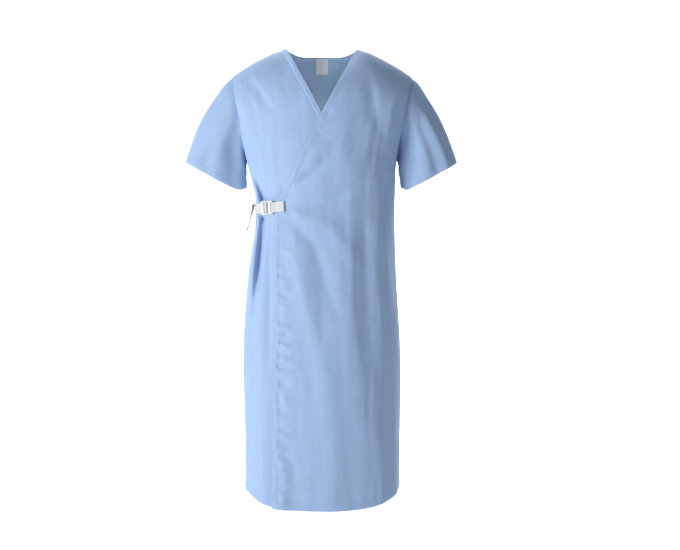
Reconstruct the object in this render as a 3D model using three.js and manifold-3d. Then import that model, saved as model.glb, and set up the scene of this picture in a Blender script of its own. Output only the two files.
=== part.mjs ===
// Short-sleeved wrap-over patient gown, standing open as it does on a wearer. The wearer's left front laps
// over the right front and is held at the right waist by a webbing strap in a plastic ladder lock.
// Millimetres, +Z up, the front faces -Y and the wearer's left is +X. The origin is midway between the two
// neck points, at the height where the cloth rests on the shoulders.
import * as THREE from "three";
import Module from "manifold-3d";
import { mergeVertices } from "three/addons/utils/BufferGeometryUtils.js";

// ---- Driving dimensions -------------------------------------------------------------------------------
const CLOTH = 1.2; // a cloth layer, with its nap and seam bulk
const FACING_THICK = 0.9; // a turned and pressed facing
const GAP = 0.35; // clearance between pieces that are sewn or pressed together
const EASE = 1.1; // room between layers that only lie on each other
const SEAM_GAP = 0.8; // clearance on each side of a seam where pieces meet edge to edge
const NECK_HALF = 87; // from the middle to each neck point
const NECK_RISE = 30; // how far the shoulder dome would rise over the middle of the neck
const BACK_NECK = -13; // height of the back neck edge at the middle
const NECK_SQUARENESS = 3; // 2 makes the back neck edge an ellipse, more makes it squarer
const SHOULDER_SLOPE = 0.3; // fall of the shoulder seam at the neck point
const SHOULDER_ROUND = 0.0016; // how quickly the shoulder seam falls further
const SHOULDER_TIP = 222; // from the middle to the top of each armhole
const CAP_FOOT = -150; // where the rounding of the shoulders ends
const ARMPIT = -265; // height of the bottom of each armhole
const CROSSING = -162; // height where the two neck edges cross at the middle
const WAIST = -396; // height of the strap
const FRONT_EDGE = 116; // from the middle to the free edge of each front, below the waist
const HEM = -1122; // height of the hem at the middle of the front
const HEM_LIFT = 34; // how much higher the hem is at the side seams
const FACING = 14; // width of the facing along the neck and front edges
const FLAP_TOP = -500; // where the free skirt of the left front begins
const FOLD_START = -94; // the fold line of that skirt, at its top
const FOLD_END = 62; // and at the hem
const ROUNDNESS = 0.85; // 1 makes each cross-section an ellipse, less makes it fuller

const CHEST = 186; // half width of the body at the armpits
const WAIST_RIGHT = 162; // half width at the waist, on the side that the strap pulls in
const WAIST_LEFT = 180;
const HIP = 194; // half width at the hips
const DEPTH = 120; // from the side seams forward to the front, at the hips
const BACK_DEPTH = 113; // and to the back

// Half widths to the right and left, and depths to the front and back, of the cloth at each height.
const FORM = [
  { z: 40, right: 240, left: 240, front: DEPTH - 8, back: BACK_DEPTH - 25 },
  { z: -110, right: 232, left: 232, front: DEPTH + 2, back: BACK_DEPTH - 11 },
  { z: ARMPIT, right: CHEST, left: CHEST, front: DEPTH + 6, back: BACK_DEPTH - 7 },
  { z: WAIST, right: WAIST_RIGHT, left: WAIST_LEFT, front: DEPTH - 5, back: BACK_DEPTH - 21 },
  { z: -560, right: HIP - 12, left: HIP - 10, front: DEPTH - 1, back: BACK_DEPTH - 9 },
  { z: -740, right: HIP, left: HIP, front: DEPTH + 2, back: BACK_DEPTH },
  { z: -940, right: HIP - 5, left: HIP - 1, front: DEPTH, back: BACK_DEPTH + 1 },
  { z: -1130, right: HIP - 7, left: HIP - 3, front: DEPTH - 2, back: BACK_DEPTH },
];

// Sleeves: the cuff is an oval that leans out from the body.
const CUFF_TOP = { x: SHOULDER_TIP + 116, z: ARMPIT - 16 };
const CUFF_FOOT = { x: CHEST + 10, z: ARMPIT - 96 };
const CUFF_HALF_DEPTH = 50;
const SLEEVE_BULGE = 12; // how far the sleeve head stands over a straight line

// Strap and ladder lock.
const WEBBING = 25; // width of the webbing
const WEBBING_THICK = 1.2;
const LOCK_THICK = 3;
const LOCK_LEAN = 4; // degrees that the lock and its tab climb towards the front
const LOCK_RAIL = 3.5; // width of each side rail
const LOCK_SLOT = WEBBING + 1; // length of each slot across the lock
const END_BAR = 3.5; // the round bar that the tab goes over takes this much of the lock's length
const TAB_SLOT = WEBBING_THICK + 2.9;
const BRIDGE = 7.4; // from the tab's slot to the first slot of the strap
const STRAP_SLOT = WEBBING_THICK + 3.8;
const MIDDLE_BAR = 3.5;
const GRIP = 7.5; // from the last slot to the end that is lifted
const TAB_REACH = 26; // from the left front's free edge to the tab's sewn end
const STRAP_EASE = 0.8; // from the cloth to the strap round it, where the cloth under it is fullest
const STRAP_SEAM = -88; // where round the body the strap is sewn into the side seam
const TAB_SEAT = 1.3; // from the left front to the sewn end of the tab
const TAB_EASE = 1.1; // room under the tab for the slope of the cloth
const STRAP_SLACK = 0.2; // looseness of the webbing in the lock and over itself
const TAIL_LENGTH = 66;
const TAIL_TWIST = -12; // degrees that the hanging end has turned from the line of the side

// Neck label, and the hidden tab and snap that hold the under front.
const LABEL = { width: 30, length: 40, thick: 0.6, fall: 4 };
const INNER_TAB = { width: 24, seam: 84, past: 3.7 }; // it ends a few degrees past the snap
const SNAP_RADIUS = 6;
const SNAP_PLATE = 1;
const SNAP_BALL = { radius: 2.2, length: 2 };
const SNAP_FROM_EDGE = 8.5; // from the right front's free edge to the middle of the snap
const PRONG = 0.9; // radius of the prongs that go through the cloth

// ---- The form of the cloth ----------------------------------------------------------------------------
const { lerp, clamp, degToRad, radToDeg, smoothstep } = THREE.MathUtils;
const FRONT = -1;
const BACK = 1;
const SEAM_DROP = 0.35; // degrees of rounding left open on each side of the shoulder seam

// One of the form's measures at a height, along a smooth curve through the stations.
function form(measure, z) {
  const last = FORM.length - 1;
  const below = FORM.findIndex((station) => station.z <= z);
  const i = clamp(below < 0 ? last : below, 1, last);
  const slope = (k) => {
    const [a, b] = [FORM[Math.max(k - 1, 0)], FORM[Math.min(k + 1, last)]];
    return (b[measure] - a[measure]) / (b.z - a.z);
  };
  const [a, b] = [FORM[i - 1], FORM[i]];
  const t = clamp((z - a.z) / (b.z - a.z), 0, 1);
  const ease = t * t * (3 - 2 * t);
  const bend = t * (1 - t) * ((1 - t) * slope(i - 1) - t * slope(i)) * (b.z - a.z);
  return lerp(a[measure], b[measure], ease) + bend;
}

// Height of the shoulder seam over a point, and of the dome that it would make over the neck.
function shoulder(x) {
  const past = Math.abs(x) - NECK_HALF;
  if (past < 0) return NECK_RISE * (1 - (x / NECK_HALF) ** 2);
  return -SHOULDER_SLOPE * past - SHOULDER_ROUND * past * past;
}

// The inner face of the cloth. angle runs from -90 at the right side seam to 90 at the left one. drop is 0 to
// 90 degrees from the shoulder seam over the rounded shoulder, then millimetres further down.
function face(side, angle, drop) {
  const across = Math.sin(degToRad(angle));
  const over = degToRad(Math.max(0, 90 - drop));
  const width = angle < 0 ? "right" : "left";
  const lift = (HEM_LIFT / (CAP_FOOT - HEM)) * across ** 4;
  let z = CAP_FOOT - Math.max(0, drop - 90) * (1 - lift);
  let x = across * form(width, z);
  for (let i = 0; drop < 90 && i < 14; i += 1) {
    z = CAP_FOOT + (shoulder(x) - CAP_FOOT) * Math.sin(over);
    x = across * form(width, z);
  }
  const depth = form(side === FRONT ? "front" : "back", z);
  const inward = Math.max(0, Math.cos(degToRad(angle))) ** ROUNDNESS;
  return new THREE.Vector3(x, side * depth * inward * Math.cos(over), z);
}

// The outward direction of the cloth, from its neighbours on the form.
function outward(side, angle, drop) {
  const step = 0.4;
  const [left, right] = [Math.min(angle + step, 90), Math.max(angle - step, -90)];
  const wide = face(side, left, drop).sub(face(side, right, drop));
  const tall = face(side, angle, drop + step).sub(face(side, angle, Math.max(drop - step, 0)));
  return wide.cross(tall).multiplyScalar(side).normalize();
}

const lifted = (side, angle, drop, lift) =>
  face(side, angle, drop).addScaledVector(outward(side, angle, drop), lift);

const dropTo = (z) => 90 + CAP_FOOT - z;

// The angle at which a line seen from the front, x = line(z), crosses one row of the cloth.
function angleOn(side, drop, line) {
  let angle = 0;
  for (let i = 0; i < 30; i += 1) {
    const { z } = face(side, angle, drop);
    const x = line(z);
    angle = radToDeg(Math.asin(clamp(x / form(x < 0 ? "right" : "left", z), -1, 1)));
  }
  return angle;
}

// ---- Lines that the pieces are cut on -------------------------------------------------------------------
const TIP_HEIGHT = shoulder(SHOULDER_TIP);

// The armhole and then the side seam: hand is -1 on the right and 1 on the left.
function sideEdge(side, drop, hand) {
  const seam = 90 - radToDeg(SEAM_GAP / 2 / DEPTH);
  const armhole = (z) => {
    const down = clamp((TIP_HEIGHT - z) / (TIP_HEIGHT - ARMPIT), 0, 1);
    return hand * (lerp(SHOULDER_TIP, CHEST, down) - SEAM_GAP);
  };
  if (face(side, hand * 90, drop).z <= ARMPIT) return hand * seam;
  return hand * Math.min(seam, Math.abs(angleOn(side, drop, armhole)));
}

// The neck and front edge of the left front, seen from the front: a parabola through the neck point, the
// crossing and the waist, then straight down. The right front's is its mirror image.
function wrapEdge(z) {
  const toCrossing = -NECK_HALF / CROSSING;
  const toWaist = (-FRONT_EDGE - NECK_HALF) / WAIST;
  const curve = (toWaist - toCrossing) / (WAIST - CROSSING);
  const slope = toCrossing - curve * CROSSING;
  return z < WAIST ? -FRONT_EDGE : NECK_HALF + slope * z + curve * z * z;
}

const foldLine = (z) => lerp(FOLD_START, FOLD_END, (FLAP_TOP - z) / (FLAP_TOP - HEM));

// How far the left front stands off the form, to clear the right front and its own facing.
const OVERLAY = CLOTH + EASE + FACING_THICK + GAP;

function overlay(angle, drop) {
  return OVERLAY * (1 - smoothstep(angle, 44, 66)) * smoothstep(drop, 45, 78);
}

// ---- Solids --------------------------------------------------------------------------------------------
const wasm = await Module();
wasm.setup();

// A solid that manifold-3d can join and cut, from a closed geometry.
function solid(geometry) {
  const bare = new THREE.BufferGeometry();
  bare.setAttribute("position", geometry.getAttribute("position"));
  bare.setIndex(geometry.getIndex());
  const merged = mergeVertices(bare);
  const vertProperties = new Float32Array(merged.getAttribute("position").array);
  const triVerts = new Uint32Array(merged.getIndex().array);
  return new wasm.Manifold(new wasm.Mesh({ numProp: 3, vertProperties, triVerts }));
}

function geometryOf(manifold) {
  const mesh = manifold.getMesh();
  const geometry = new THREE.BufferGeometry();
  geometry.setAttribute("position", new THREE.BufferAttribute(mesh.vertProperties, 3));
  geometry.setIndex(new THREE.BufferAttribute(mesh.triVerts, 1));
  geometry.computeVertexNormals();
  return geometry;
}

// A closed geometry from points and triangles, turned the right way out.
function closed(points, triangles) {
  let volume = 0;
  for (const [a, b, c] of triangles) volume += points[a].dot(points[b].clone().cross(points[c]));
  const faces = volume < 0 ? triangles.map(([a, b, c]) => [a, c, b]) : triangles;
  const geometry = new THREE.BufferGeometry().setFromPoints(points);
  geometry.setIndex(faces.flat());
  geometry.computeVertexNormals();
  return geometry;
}

// A sheet of cloth: place(row, column, layer) gives the points of its inner layer 0 and outer layer 1.
// With round, the last column joins the first, as a sleeve does.
function cloth(rows, columns, place, round = false) {
  const across = round ? columns : columns + 1;
  const points = [];
  for (let row = 0; row < rows; row += 1) {
    for (let column = 0; column < across; column += 1) {
      points.push(place(row, column, 0), place(row, column, 1));
    }
  }
  const index = (row, column, layer) => (row * across + (column % across)) * 2 + layer;
  const triangles = [];
  const quad = (a, b, c, d) => triangles.push([a, b, c], [a, c, d]);
  for (let row = 0; row + 1 < rows; row += 1) {
    for (let column = 0; column < columns; column += 1) {
      const [a, b] = [index(row, column, 0), index(row, column + 1, 0)];
      const [c, d] = [index(row + 1, column, 0), index(row + 1, column + 1, 0)];
      quad(a + 1, c + 1, d + 1, b + 1);
      triangles.push([a, d, c], [a, b, d]);
    }
  }
  const rim = (a, b) => quad(a, a + 1, b + 1, b);
  for (let column = 0; column < columns; column += 1) {
    rim(index(0, column, 0), index(0, column + 1, 0));
    rim(index(rows - 1, column + 1, 0), index(rows - 1, column, 0));
  }
  for (let row = 0; !round && row + 1 < rows; row += 1) {
    rim(index(row + 1, 0, 0), index(row, 0, 0));
    rim(index(row, columns, 0), index(row + 1, columns, 0));
  }
  return closed(points, triangles);
}

// A piece of cloth cut along lines: each line gives its angle on a row, and counts gives the columns between
// each line and the next.
function panel({ side, drops, lines, counts, low, high, stand = () => 0, start = (angle, drop) => drop }) {
  const columns = counts.reduce((a, b) => a + b, 0);
  const angles = drops.map((drop) => {
    const at = lines.map((line) => line(drop));
    const between = counts.flatMap((count, i) =>
      Array.from({ length: count }, (_, k) => lerp(at[i], at[i + 1], k / count)),
    );
    return [...between, at[at.length - 1]];
  });
  return cloth(drops.length, columns, (row, column, layer) => {
    const angle = angles[row][column];
    const drop = start(angle, drops[row]);
    return lifted(side, angle, drop, (layer ? high : low) + stand(angle, drop));
  });
}

const COLOURS = { cloth: 0x9dbce8, webbing: 0xeeeeea, plastic: 0xf4f4f2, label: 0xf2f2f0 };
const ROUGHNESS = { cloth: 0.85, webbing: 0.8, plastic: 0.4, label: 0.6 };
const gown = new THREE.Group();

function add(name, geometry, slot, parent = gown) {
  const surface = new THREE.MeshStandardMaterial({
    color: COLOURS[slot],
    roughness: ROUGHNESS[slot],
    metalness: 0,
  });
  const mesh = new THREE.Mesh(geometry, surface);
  mesh.name = name;
  parent.add(mesh);
  return mesh;
}

// ---- Back and fronts -----------------------------------------------------------------------------------
const SHOULDER_DROPS = [SEAM_DROP, 9, 20, 34, 50, 68];
const steps = (from, to, count) => Array.from({ length: count + 1 }, (_, i) => lerp(from, to, i / count));
const UPPER = [
  ...steps(CAP_FOOT, ARMPIT, 3),
  lerp(ARMPIT, WAIST, 0.42),
  WAIST + 22,
  WAIST - 2,
  ...steps(WAIST - 24, FLAP_TOP + GAP, 2),
];
const LOWER = steps(FLAP_TOP - GAP, HEM, 7);
const UPPER_DROPS = [...SHOULDER_DROPS, ...UPPER.map(dropTo)];
const LOWER_DROPS = LOWER.map(dropTo);
const SKIRT_DROPS = [dropTo(FLAP_TOP - GAP - SEAM_GAP), ...LOWER_DROPS.slice(1)];
const BODY_DROPS = [...UPPER_DROPS, ...LOWER_DROPS];
const rightSide = (side) => (drop) => sideEdge(side, drop, -1);
const leftSide = (side) => (drop) => sideEdge(side, drop, 1);

// The back is cut down to its neck edge, and its upper rows run on to that edge.
const neckSine = (BACK_NECK - CAP_FOOT) / (NECK_RISE - CAP_FOOT);
const NECK_DROP = 90 - radToDeg(Math.asin(neckSine));

function backStart(angle, drop) {
  const { x } = face(BACK, angle, SEAM_DROP);
  const fullness = Math.sqrt(Math.max(0, 1 - Math.abs(x / NECK_HALF) ** NECK_SQUARENESS));
  const edge = lerp(SEAM_DROP, NECK_DROP, fullness);
  return drop < 90 ? lerp(edge, 90, (drop - SEAM_DROP) / (90 - SEAM_DROP)) : drop;
}

const neckSide = (hand) => (drop) => angleOn(BACK, drop, () => hand * (NECK_HALF + FACING));
const backLines = [rightSide(BACK), neckSide(-1), neckSide(1), leftSide(BACK)];
add(
  "back_panel",
  panel({
    side: BACK,
    drops: BODY_DROPS,
    lines: backLines,
    counts: [6, 10, 6],
    low: 0,
    high: CLOTH,
    start: backStart,
  }),
  "cloth",
);

// The right front lies under. Its neck edge mirrors the left front's.
const underEdge = (drop) => angleOn(FRONT, drop, (z) => -wrapEdge(z));
const underFacing = (drop) => angleOn(FRONT, drop, (z) => -wrapEdge(z) - FACING);
const rightFront = panel({
  side: FRONT,
  drops: BODY_DROPS,
  lines: [rightSide(FRONT), underFacing, underEdge],
  counts: [13, 1],
  low: 0,
  high: CLOTH,
});

// The left front lies over. Below the strap its skirt can be turned back along a slanting line, so it is two
// solids that part there: the piece that stays and the free skirt.
const overEdge = (drop) => angleOn(FRONT, drop, wrapEdge);
const overFacing = (drop) => angleOn(FRONT, drop, (z) => wrapEdge(z) + FACING);
const foldSide = (away) => (drop) => angleOn(FRONT, drop, (z) => foldLine(z) + away);
const over = { side: FRONT, low: 0, high: CLOTH, stand: overlay };
const stayEdge = (drop) => (drop < dropTo(FLAP_TOP) ? overEdge(drop) : foldSide(SEAM_GAP)(drop));
const stayFacing = (drop) =>
  drop < dropTo(FLAP_TOP) ? overFacing(drop) : foldSide(SEAM_GAP + FACING)(drop);
add(
  "left_front_panel",
  panel({
    ...over,
    drops: BODY_DROPS,
    lines: [stayEdge, stayFacing, leftSide(FRONT)],
    counts: [1, 13],
  }),
  "cloth",
);
const skirtFacing = (drop) =>
  angleOn(FRONT, drop, (z) => Math.min(wrapEdge(z) + FACING, foldLine(z) - 3 * SEAM_GAP));
add(
  "left_front_skirt",
  panel({
    ...over,
    drops: SKIRT_DROPS,
    lines: [overEdge, skirtFacing, foldSide(-SEAM_GAP)],
    counts: [1, 8],
  }),
  "cloth",
);

// ---- Facings -------------------------------------------------------------------------------------------
// Self-cloth strips turned to the inside along every neck and front edge, and topstitched.
const inside = { low: -GAP - FACING_THICK, high: -GAP };
add(
  "back_neck_facing",
  panel({
    side: BACK,
    drops: SHOULDER_DROPS.slice(0, 2),
    lines: backLines.slice(1, 3),
    counts: [10],
    start: backStart,
    ...inside,
  }),
  "cloth",
);
const rightFacing = panel({
  side: FRONT,
  drops: BODY_DROPS,
  lines: [underFacing, underEdge],
  counts: [1],
  ...inside,
});
add(
  "left_neck_facing",
  panel({
    ...over,
    ...inside,
    drops: [...UPPER_DROPS.slice(0, -1), dropTo(FLAP_TOP + 2 * SEAM_GAP)],
    lines: [overEdge, overFacing],
    counts: [1],
  }),
  "cloth",
);
add(
  "left_skirt_facing",
  panel({ ...over, ...inside, drops: SKIRT_DROPS, lines: [overEdge, skirtFacing], counts: [1] }),
  "cloth",
);

// ---- Sleeves -------------------------------------------------------------------------------------------
// Each sleeve is one ring of cloth from the armhole, down the front and up the back, to the oval of the cuff.
const FRONT_RING = [SEAM_DROP, 18, 38, 60, 80, ...steps(CAP_FOOT - 10, ARMPIT, 3).map(dropTo)];
const RING = [
  ...FRONT_RING.map((drop) => [FRONT, drop]),
  ...FRONT_RING.slice(0, -1).reverse().map((drop) => [BACK, drop]),
];
const SLEEVE_ROWS = 5;
const armholeLean = (hand) =>
  new THREE.Vector3(hand * (TIP_HEIGHT - ARMPIT), 0, CHEST - SHOULDER_TIP).normalize();

function armholePoint(hand, [side, drop], lift) {
  const away = armholeLean(hand).multiplyScalar(2 * SEAM_GAP);
  return lifted(side, sideEdge(side, drop, hand), drop, lift).add(away);
}

const downArmhole = (point) => clamp((TIP_HEIGHT - point.z) / (TIP_HEIGHT - ARMPIT), 0, 1);

function cuffPoint(hand, spot, lift) {
  const turn = 2 * downArmhole(armholePoint(hand, spot, 0)) - 1;
  const grown = 1 + lift / CUFF_HALF_DEPTH;
  const along = (1 + turn * grown) / 2;
  return new THREE.Vector3(
    hand * lerp(CUFF_TOP.x, CUFF_FOOT.x, along),
    spot[0] * CUFF_HALF_DEPTH * grown * Math.sqrt(Math.max(0, 1 - turn * turn)),
    lerp(CUFF_TOP.z, CUFF_FOOT.z, along),
  );
}

function sleeve(hand) {
  const place = (row, column, layer) => {
    const spot = RING[column % RING.length];
    const t = row / (SLEEVE_ROWS - 1);
    const at = armholePoint(hand, spot, layer * CLOTH).lerp(cuffPoint(hand, spot, layer * CLOTH), t);
    const head = 1 - downArmhole(armholePoint(hand, spot, 0));
    const bulge = SLEEVE_BULGE * head * Math.sin(Math.PI * t);
    return at.add(new THREE.Vector3(hand * bulge, 0, bulge / 2));
  };
  return cloth(SLEEVE_ROWS, RING.length, place, true);
}

add("right_sleeve", sleeve(-1), "cloth");
add("left_sleeve", sleeve(1), "cloth");

// ---- Neck label ----------------------------------------------------------------------------------------
// A woven label whose top edge is sewn inside the back neck edge. It hangs free.
const neckEdge = lifted(BACK, 0, backStart(0, SEAM_DROP), inside.low - GAP);
const label = add("neck_label", new THREE.BoxGeometry(LABEL.width, LABEL.thick, LABEL.length), "label");
label.position.set(0, neckEdge.y - LABEL.thick / 2, neckEdge.z - LABEL.fall - LABEL.length / 2);

// ---- Strap and ladder lock -----------------------------------------------------------------------------
const half = WEBBING_THICK / 2;
const LAYER = WEBBING_THICK + GAP + STRAP_SLACK;
const upSlot = END_BAR + TAB_SLOT + BRIDGE; // where the strap comes up
const downSlot = upSlot + STRAP_SLOT + MIDDLE_BAR; // where it goes down again
const LOCK_LENGTH = downSlot + STRAP_SLOT + GRIP;
const LOCK_WIDTH = LOCK_SLOT + 2 * LOCK_RAIL;
const LOCK_STAND = OVERLAY + GAP + WEBBING_THICK + TAB_EASE; // from the right front to the lock

// The lock lies along the cloth at the right waist. The fastening's own X runs along the strap from the front
// end of the lock towards the side seam, Y runs out from the cloth and Z is across the strap.
const lockAngle = angleOn(FRONT, dropTo(WAIST), () => -FRONT_EDGE - LOCK_LENGTH * 0.32);
const lockOut = outward(FRONT, lockAngle, dropTo(WAIST)).setZ(0).normalize();
const lockAlong = new THREE.Vector3(lockOut.y, -lockOut.x, 0);
const fastening = new THREE.Group();
fastening.quaternion
  .setFromRotationMatrix(new THREE.Matrix4().makeBasis(lockAlong, lockOut, new THREE.Vector3(0, 0, 1)))
  .multiply(new THREE.Quaternion().setFromAxisAngle(new THREE.Vector3(0, 1, 0), degToRad(LOCK_LEAN)));
fastening.position
  .copy(lifted(FRONT, lockAngle, dropTo(WAIST), CLOTH + LOCK_STAND))
  .sub(new THREE.Vector3(LOCK_LENGTH / 2, 0, 0).applyQuaternion(fastening.quaternion));
gown.add(fastening);
fastening.updateMatrixWorld();

// Where the fastening's middle plane meets the cloth at an angle round the body, as [along, out].
function onCloth(angle, lift) {
  const point = new THREE.Vector3();
  let drop = dropTo(WAIST);
  for (let i = 0; i < 6; i += 1) {
    fastening.worldToLocal(point.copy(lifted(FRONT, angle, drop, lift)));
    drop += point.z;
  }
  return [point.x, point.y];
}

// A band of webbing along a path of [along, out] points, with its width across the path.
function webbing(path) {
  const points = path.map(([x, y]) => new THREE.Vector3(x, y, 0));
  const line = new THREE.CatmullRomCurve3(points, false, "centripetal");
  const middle = line.getPoints(path.length * 3);
  const edge = (sign) =>
    middle.map((point, i) => {
      const along = middle[Math.min(i + 1, middle.length - 1)].clone().sub(middle[Math.max(i - 1, 0)]);
      const out = new THREE.Vector2(-along.y, along.x).setLength(half);
      return new THREE.Vector2(point.x + sign * out.x, point.y + sign * out.y);
    });
  const shape = new THREE.Shape([...edge(1), ...edge(-1).reverse()]);
  const band = new THREE.ExtrudeGeometry(shape, { depth: WEBBING, bevelEnabled: false, steps: 1 });
  return band.translate(0, 0, -WEBBING / 2);
}

// The lock is one moulding: a plate with a slot for the tab and two for the strap, and a round end bar.
function roundedRectangle(path, x0, x1, halfWidth, radius) {
  const [z0, z1] = [-halfWidth, halfWidth];
  path.absarc(x1 - radius, z0 + radius, radius, -Math.PI / 2, 0);
  path.absarc(x1 - radius, z1 - radius, radius, 0, Math.PI / 2);
  path.absarc(x0 + radius, z1 - radius, radius, Math.PI / 2, Math.PI);
  path.absarc(x0 + radius, z0 + radius, radius, Math.PI, 1.5 * Math.PI);
  return path;
}

const plate = roundedRectangle(new THREE.Shape(), 0, LOCK_LENGTH, LOCK_WIDTH / 2, 2.5);
for (const slot of [upSlot, downSlot]) {
  plate.holes.push(roundedRectangle(new THREE.Path(), slot, slot + STRAP_SLOT, LOCK_SLOT / 2, 0.8));
}
const plateSolid = new THREE.ExtrudeGeometry(plate, {
  depth: LOCK_THICK,
  bevelEnabled: false,
  curveSegments: 4,
});
plateSolid.rotateX(Math.PI / 2).translate(0, LOCK_THICK, 0);
const barRadius = LOCK_THICK / 2;
const barAlong = END_BAR / 2;
const notch = new THREE.BoxGeometry(END_BAR + TAB_SLOT + 1, LOCK_THICK + 2, LOCK_SLOT);
notch.translate((END_BAR + TAB_SLOT - 1) / 2, LOCK_THICK / 2, 0);
const bar = new THREE.CylinderGeometry(barRadius, barRadius, LOCK_SLOT + 2, 20);
bar.rotateX(Math.PI / 2).translate(barAlong, barRadius, 0);
const lock = solid(plateSolid).subtract(solid(notch)).add(solid(bar));
add("ladder_lock", geometryOf(lock), "plastic", fastening);

// The tab is a short loop of webbing round the lock's end bar, its two ends sewn down on the left front.
const under = -GAP - half;
const above = LOCK_THICK + GAP + half;
const tabEnd = angleOn(FRONT, dropTo(WAIST), () => TAB_REACH - FRONT_EDGE);
const tabTurn = angleOn(FRONT, dropTo(WAIST), () => -FRONT_EDGE + 9);
const fullest = Math.max(
  ...[-1, 1].map((sign) => form("right", WAIST + (sign * WEBBING) / 2) - form("right", WAIST)),
);
const strapLift = CLOTH + STRAP_EASE + fullest + half;
const tabLift = OVERLAY + CLOTH + TAB_SEAT + half;
const loop = barRadius + GAP + half;
const roundBar = [90, 45, 0, -45, -90].map((turn) => [
  barAlong + loop * Math.cos(degToRad(turn)),
  barRadius + loop * Math.sin(degToRad(turn)),
]);
add(
  "front_tab",
  webbing([
    onCloth(tabEnd + 1.5, tabLift + LAYER),
    onCloth((tabEnd + tabTurn) / 2, tabLift + LAYER),
    onCloth(tabTurn, tabLift + LAYER),
    ...roundBar,
    onCloth(tabTurn, tabLift),
    onCloth((tabEnd + tabTurn) / 2, tabLift),
    onCloth(tabEnd, tabLift),
  ]),
  "webbing",
  fastening,
);

// The strap comes along the side under the lock, up through the middle slot, over the bar and down again.
const rise = upSlot + STRAP_SLOT - GAP - half - STRAP_SLACK;
const dive = downSlot + GAP + half + STRAP_SLACK;
const corner = 0.8;
const turnEnd = LOCK_LENGTH + 3;
add(
  "strap_turn",
  webbing([
    [turnEnd, under - LAYER],
    [rise + 4, under - LAYER],
    [rise + corner, under - LAYER + corner / 2],
    [rise, under + corner],
    [rise, above - corner],
    [rise + corner, above],
    [dive - corner, above],
    [dive, above - corner],
    [dive, under + corner],
    [dive + corner, under],
    [turnEnd, under],
  ]),
  "webbing",
  fastening,
);

// From the lock the strap lies round the side to the seam, and its other run comes back on top of it.
const runStart = turnEnd + SEAM_GAP;
const sideAngles = [-70, -76, -82];
add(
  "side_strap",
  webbing([
    [runStart, under - LAYER],
    ...[...sideAngles, STRAP_SEAM].map((angle) => onCloth(angle, strapLift)),
  ]),
  "webbing",
  fastening,
);
const returnPath = [[runStart, under], ...sideAngles.map((angle) => onCloth(angle, strapLift + LAYER))];
add("strap_return", webbing(returnPath), "webbing", fastening);

// The free end is folded down over the end of the returning run, and hangs a little off the side.
const tailTop = fastening.localToWorld(new THREE.Vector3(...returnPath[returnPath.length - 1], 0));
const tail = webbing([
  [0, 0],
  [WEBBING / 2, 1],
  [WEBBING, 5],
  [TAIL_LENGTH * 0.7, 10],
  [TAIL_LENGTH, 15],
]);
tail.applyMatrix4(
  new THREE.Matrix4().makeBasis(
    new THREE.Vector3(0, 0, -1),
    new THREE.Vector3(-1, 0, 0),
    new THREE.Vector3(0, 1, 0),
  ),
);
tail.rotateZ(degToRad(TAIL_TWIST));
const tailOut = LAYER + GAP + (WEBBING / 2) * Math.sin(degToRad(Math.abs(TAIL_TWIST)));
add("strap_tail", tail, "webbing").position.set(tailTop.x - tailOut, tailTop.y, tailTop.z + WEBBING / 2);

// ---- Hidden fastening of the under front -----------------------------------------------------------------
// A cloth tab from the left side seam is snapped to the inside of the right front's free edge at the waist.
// Depths are measured inwards from the form, along the snap's own axis.
const snapDrop = dropTo(WAIST);
const snapAngle = angleOn(FRONT, snapDrop, () => FRONT_EDGE - SNAP_FROM_EDGE);
const snapIn = outward(FRONT, snapAngle, snapDrop).negate();
const SNAP_GAP = GAP + 0.25;
const studDepth = GAP + FACING_THICK + SNAP_GAP;
const socketDepth = studDepth + SNAP_PLATE + GAP;
const socketHole = SNAP_BALL.length + GAP;
const tabDepth = socketDepth + socketHole + SNAP_PLATE + SNAP_GAP;
const buttonDepth = tabDepth + CLOTH + SNAP_GAP;
const capDepth = -CLOTH - SNAP_GAP - SNAP_PLATE;

function alongSnap(geometry, depth) {
  const turn = new THREE.Quaternion().setFromUnitVectors(new THREE.Vector3(0, 1, 0), snapIn);
  const { x, y, z } = lifted(FRONT, snapAngle, snapDrop, -depth);
  return geometry.applyQuaternion(turn).translate(x, y, z);
}

// A turned piece of the snap, from a profile of [radius, depth] points.
function turned(name, profile, depth) {
  const points = profile.map(([radius, height]) => new THREE.Vector2(radius, height));
  add(name, alongSnap(new THREE.LatheGeometry(points, 20), depth), "plastic");
}

// A cloth piece with the prong's hole through it.
function pierced(geometry) {
  const drill = new THREE.CylinderGeometry(PRONG + GAP, PRONG + GAP, 4 * buttonDepth, 12);
  return geometryOf(solid(geometry).subtract(solid(alongSnap(drill, 0))));
}

add("right_front_panel", pierced(rightFront), "cloth");
add("right_front_facing", pierced(rightFacing), "cloth");
const tabDrops = [WAIST + INNER_TAB.width / 2, WAIST - INNER_TAB.width / 2].map(dropTo);
const innerTab = cloth(tabDrops.length, 10, (row, column, layer) => {
  const angle = lerp(INNER_TAB.seam, snapAngle - INNER_TAB.past, column / 10);
  const depth = lerp(2 * GAP + EASE, tabDepth, smoothstep(column / 10, 0, 0.6));
  return lifted(FRONT, angle, tabDrops[row], -depth - (layer ? 0 : CLOTH));
});
add("inner_tab", pierced(innerTab), "cloth");

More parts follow.
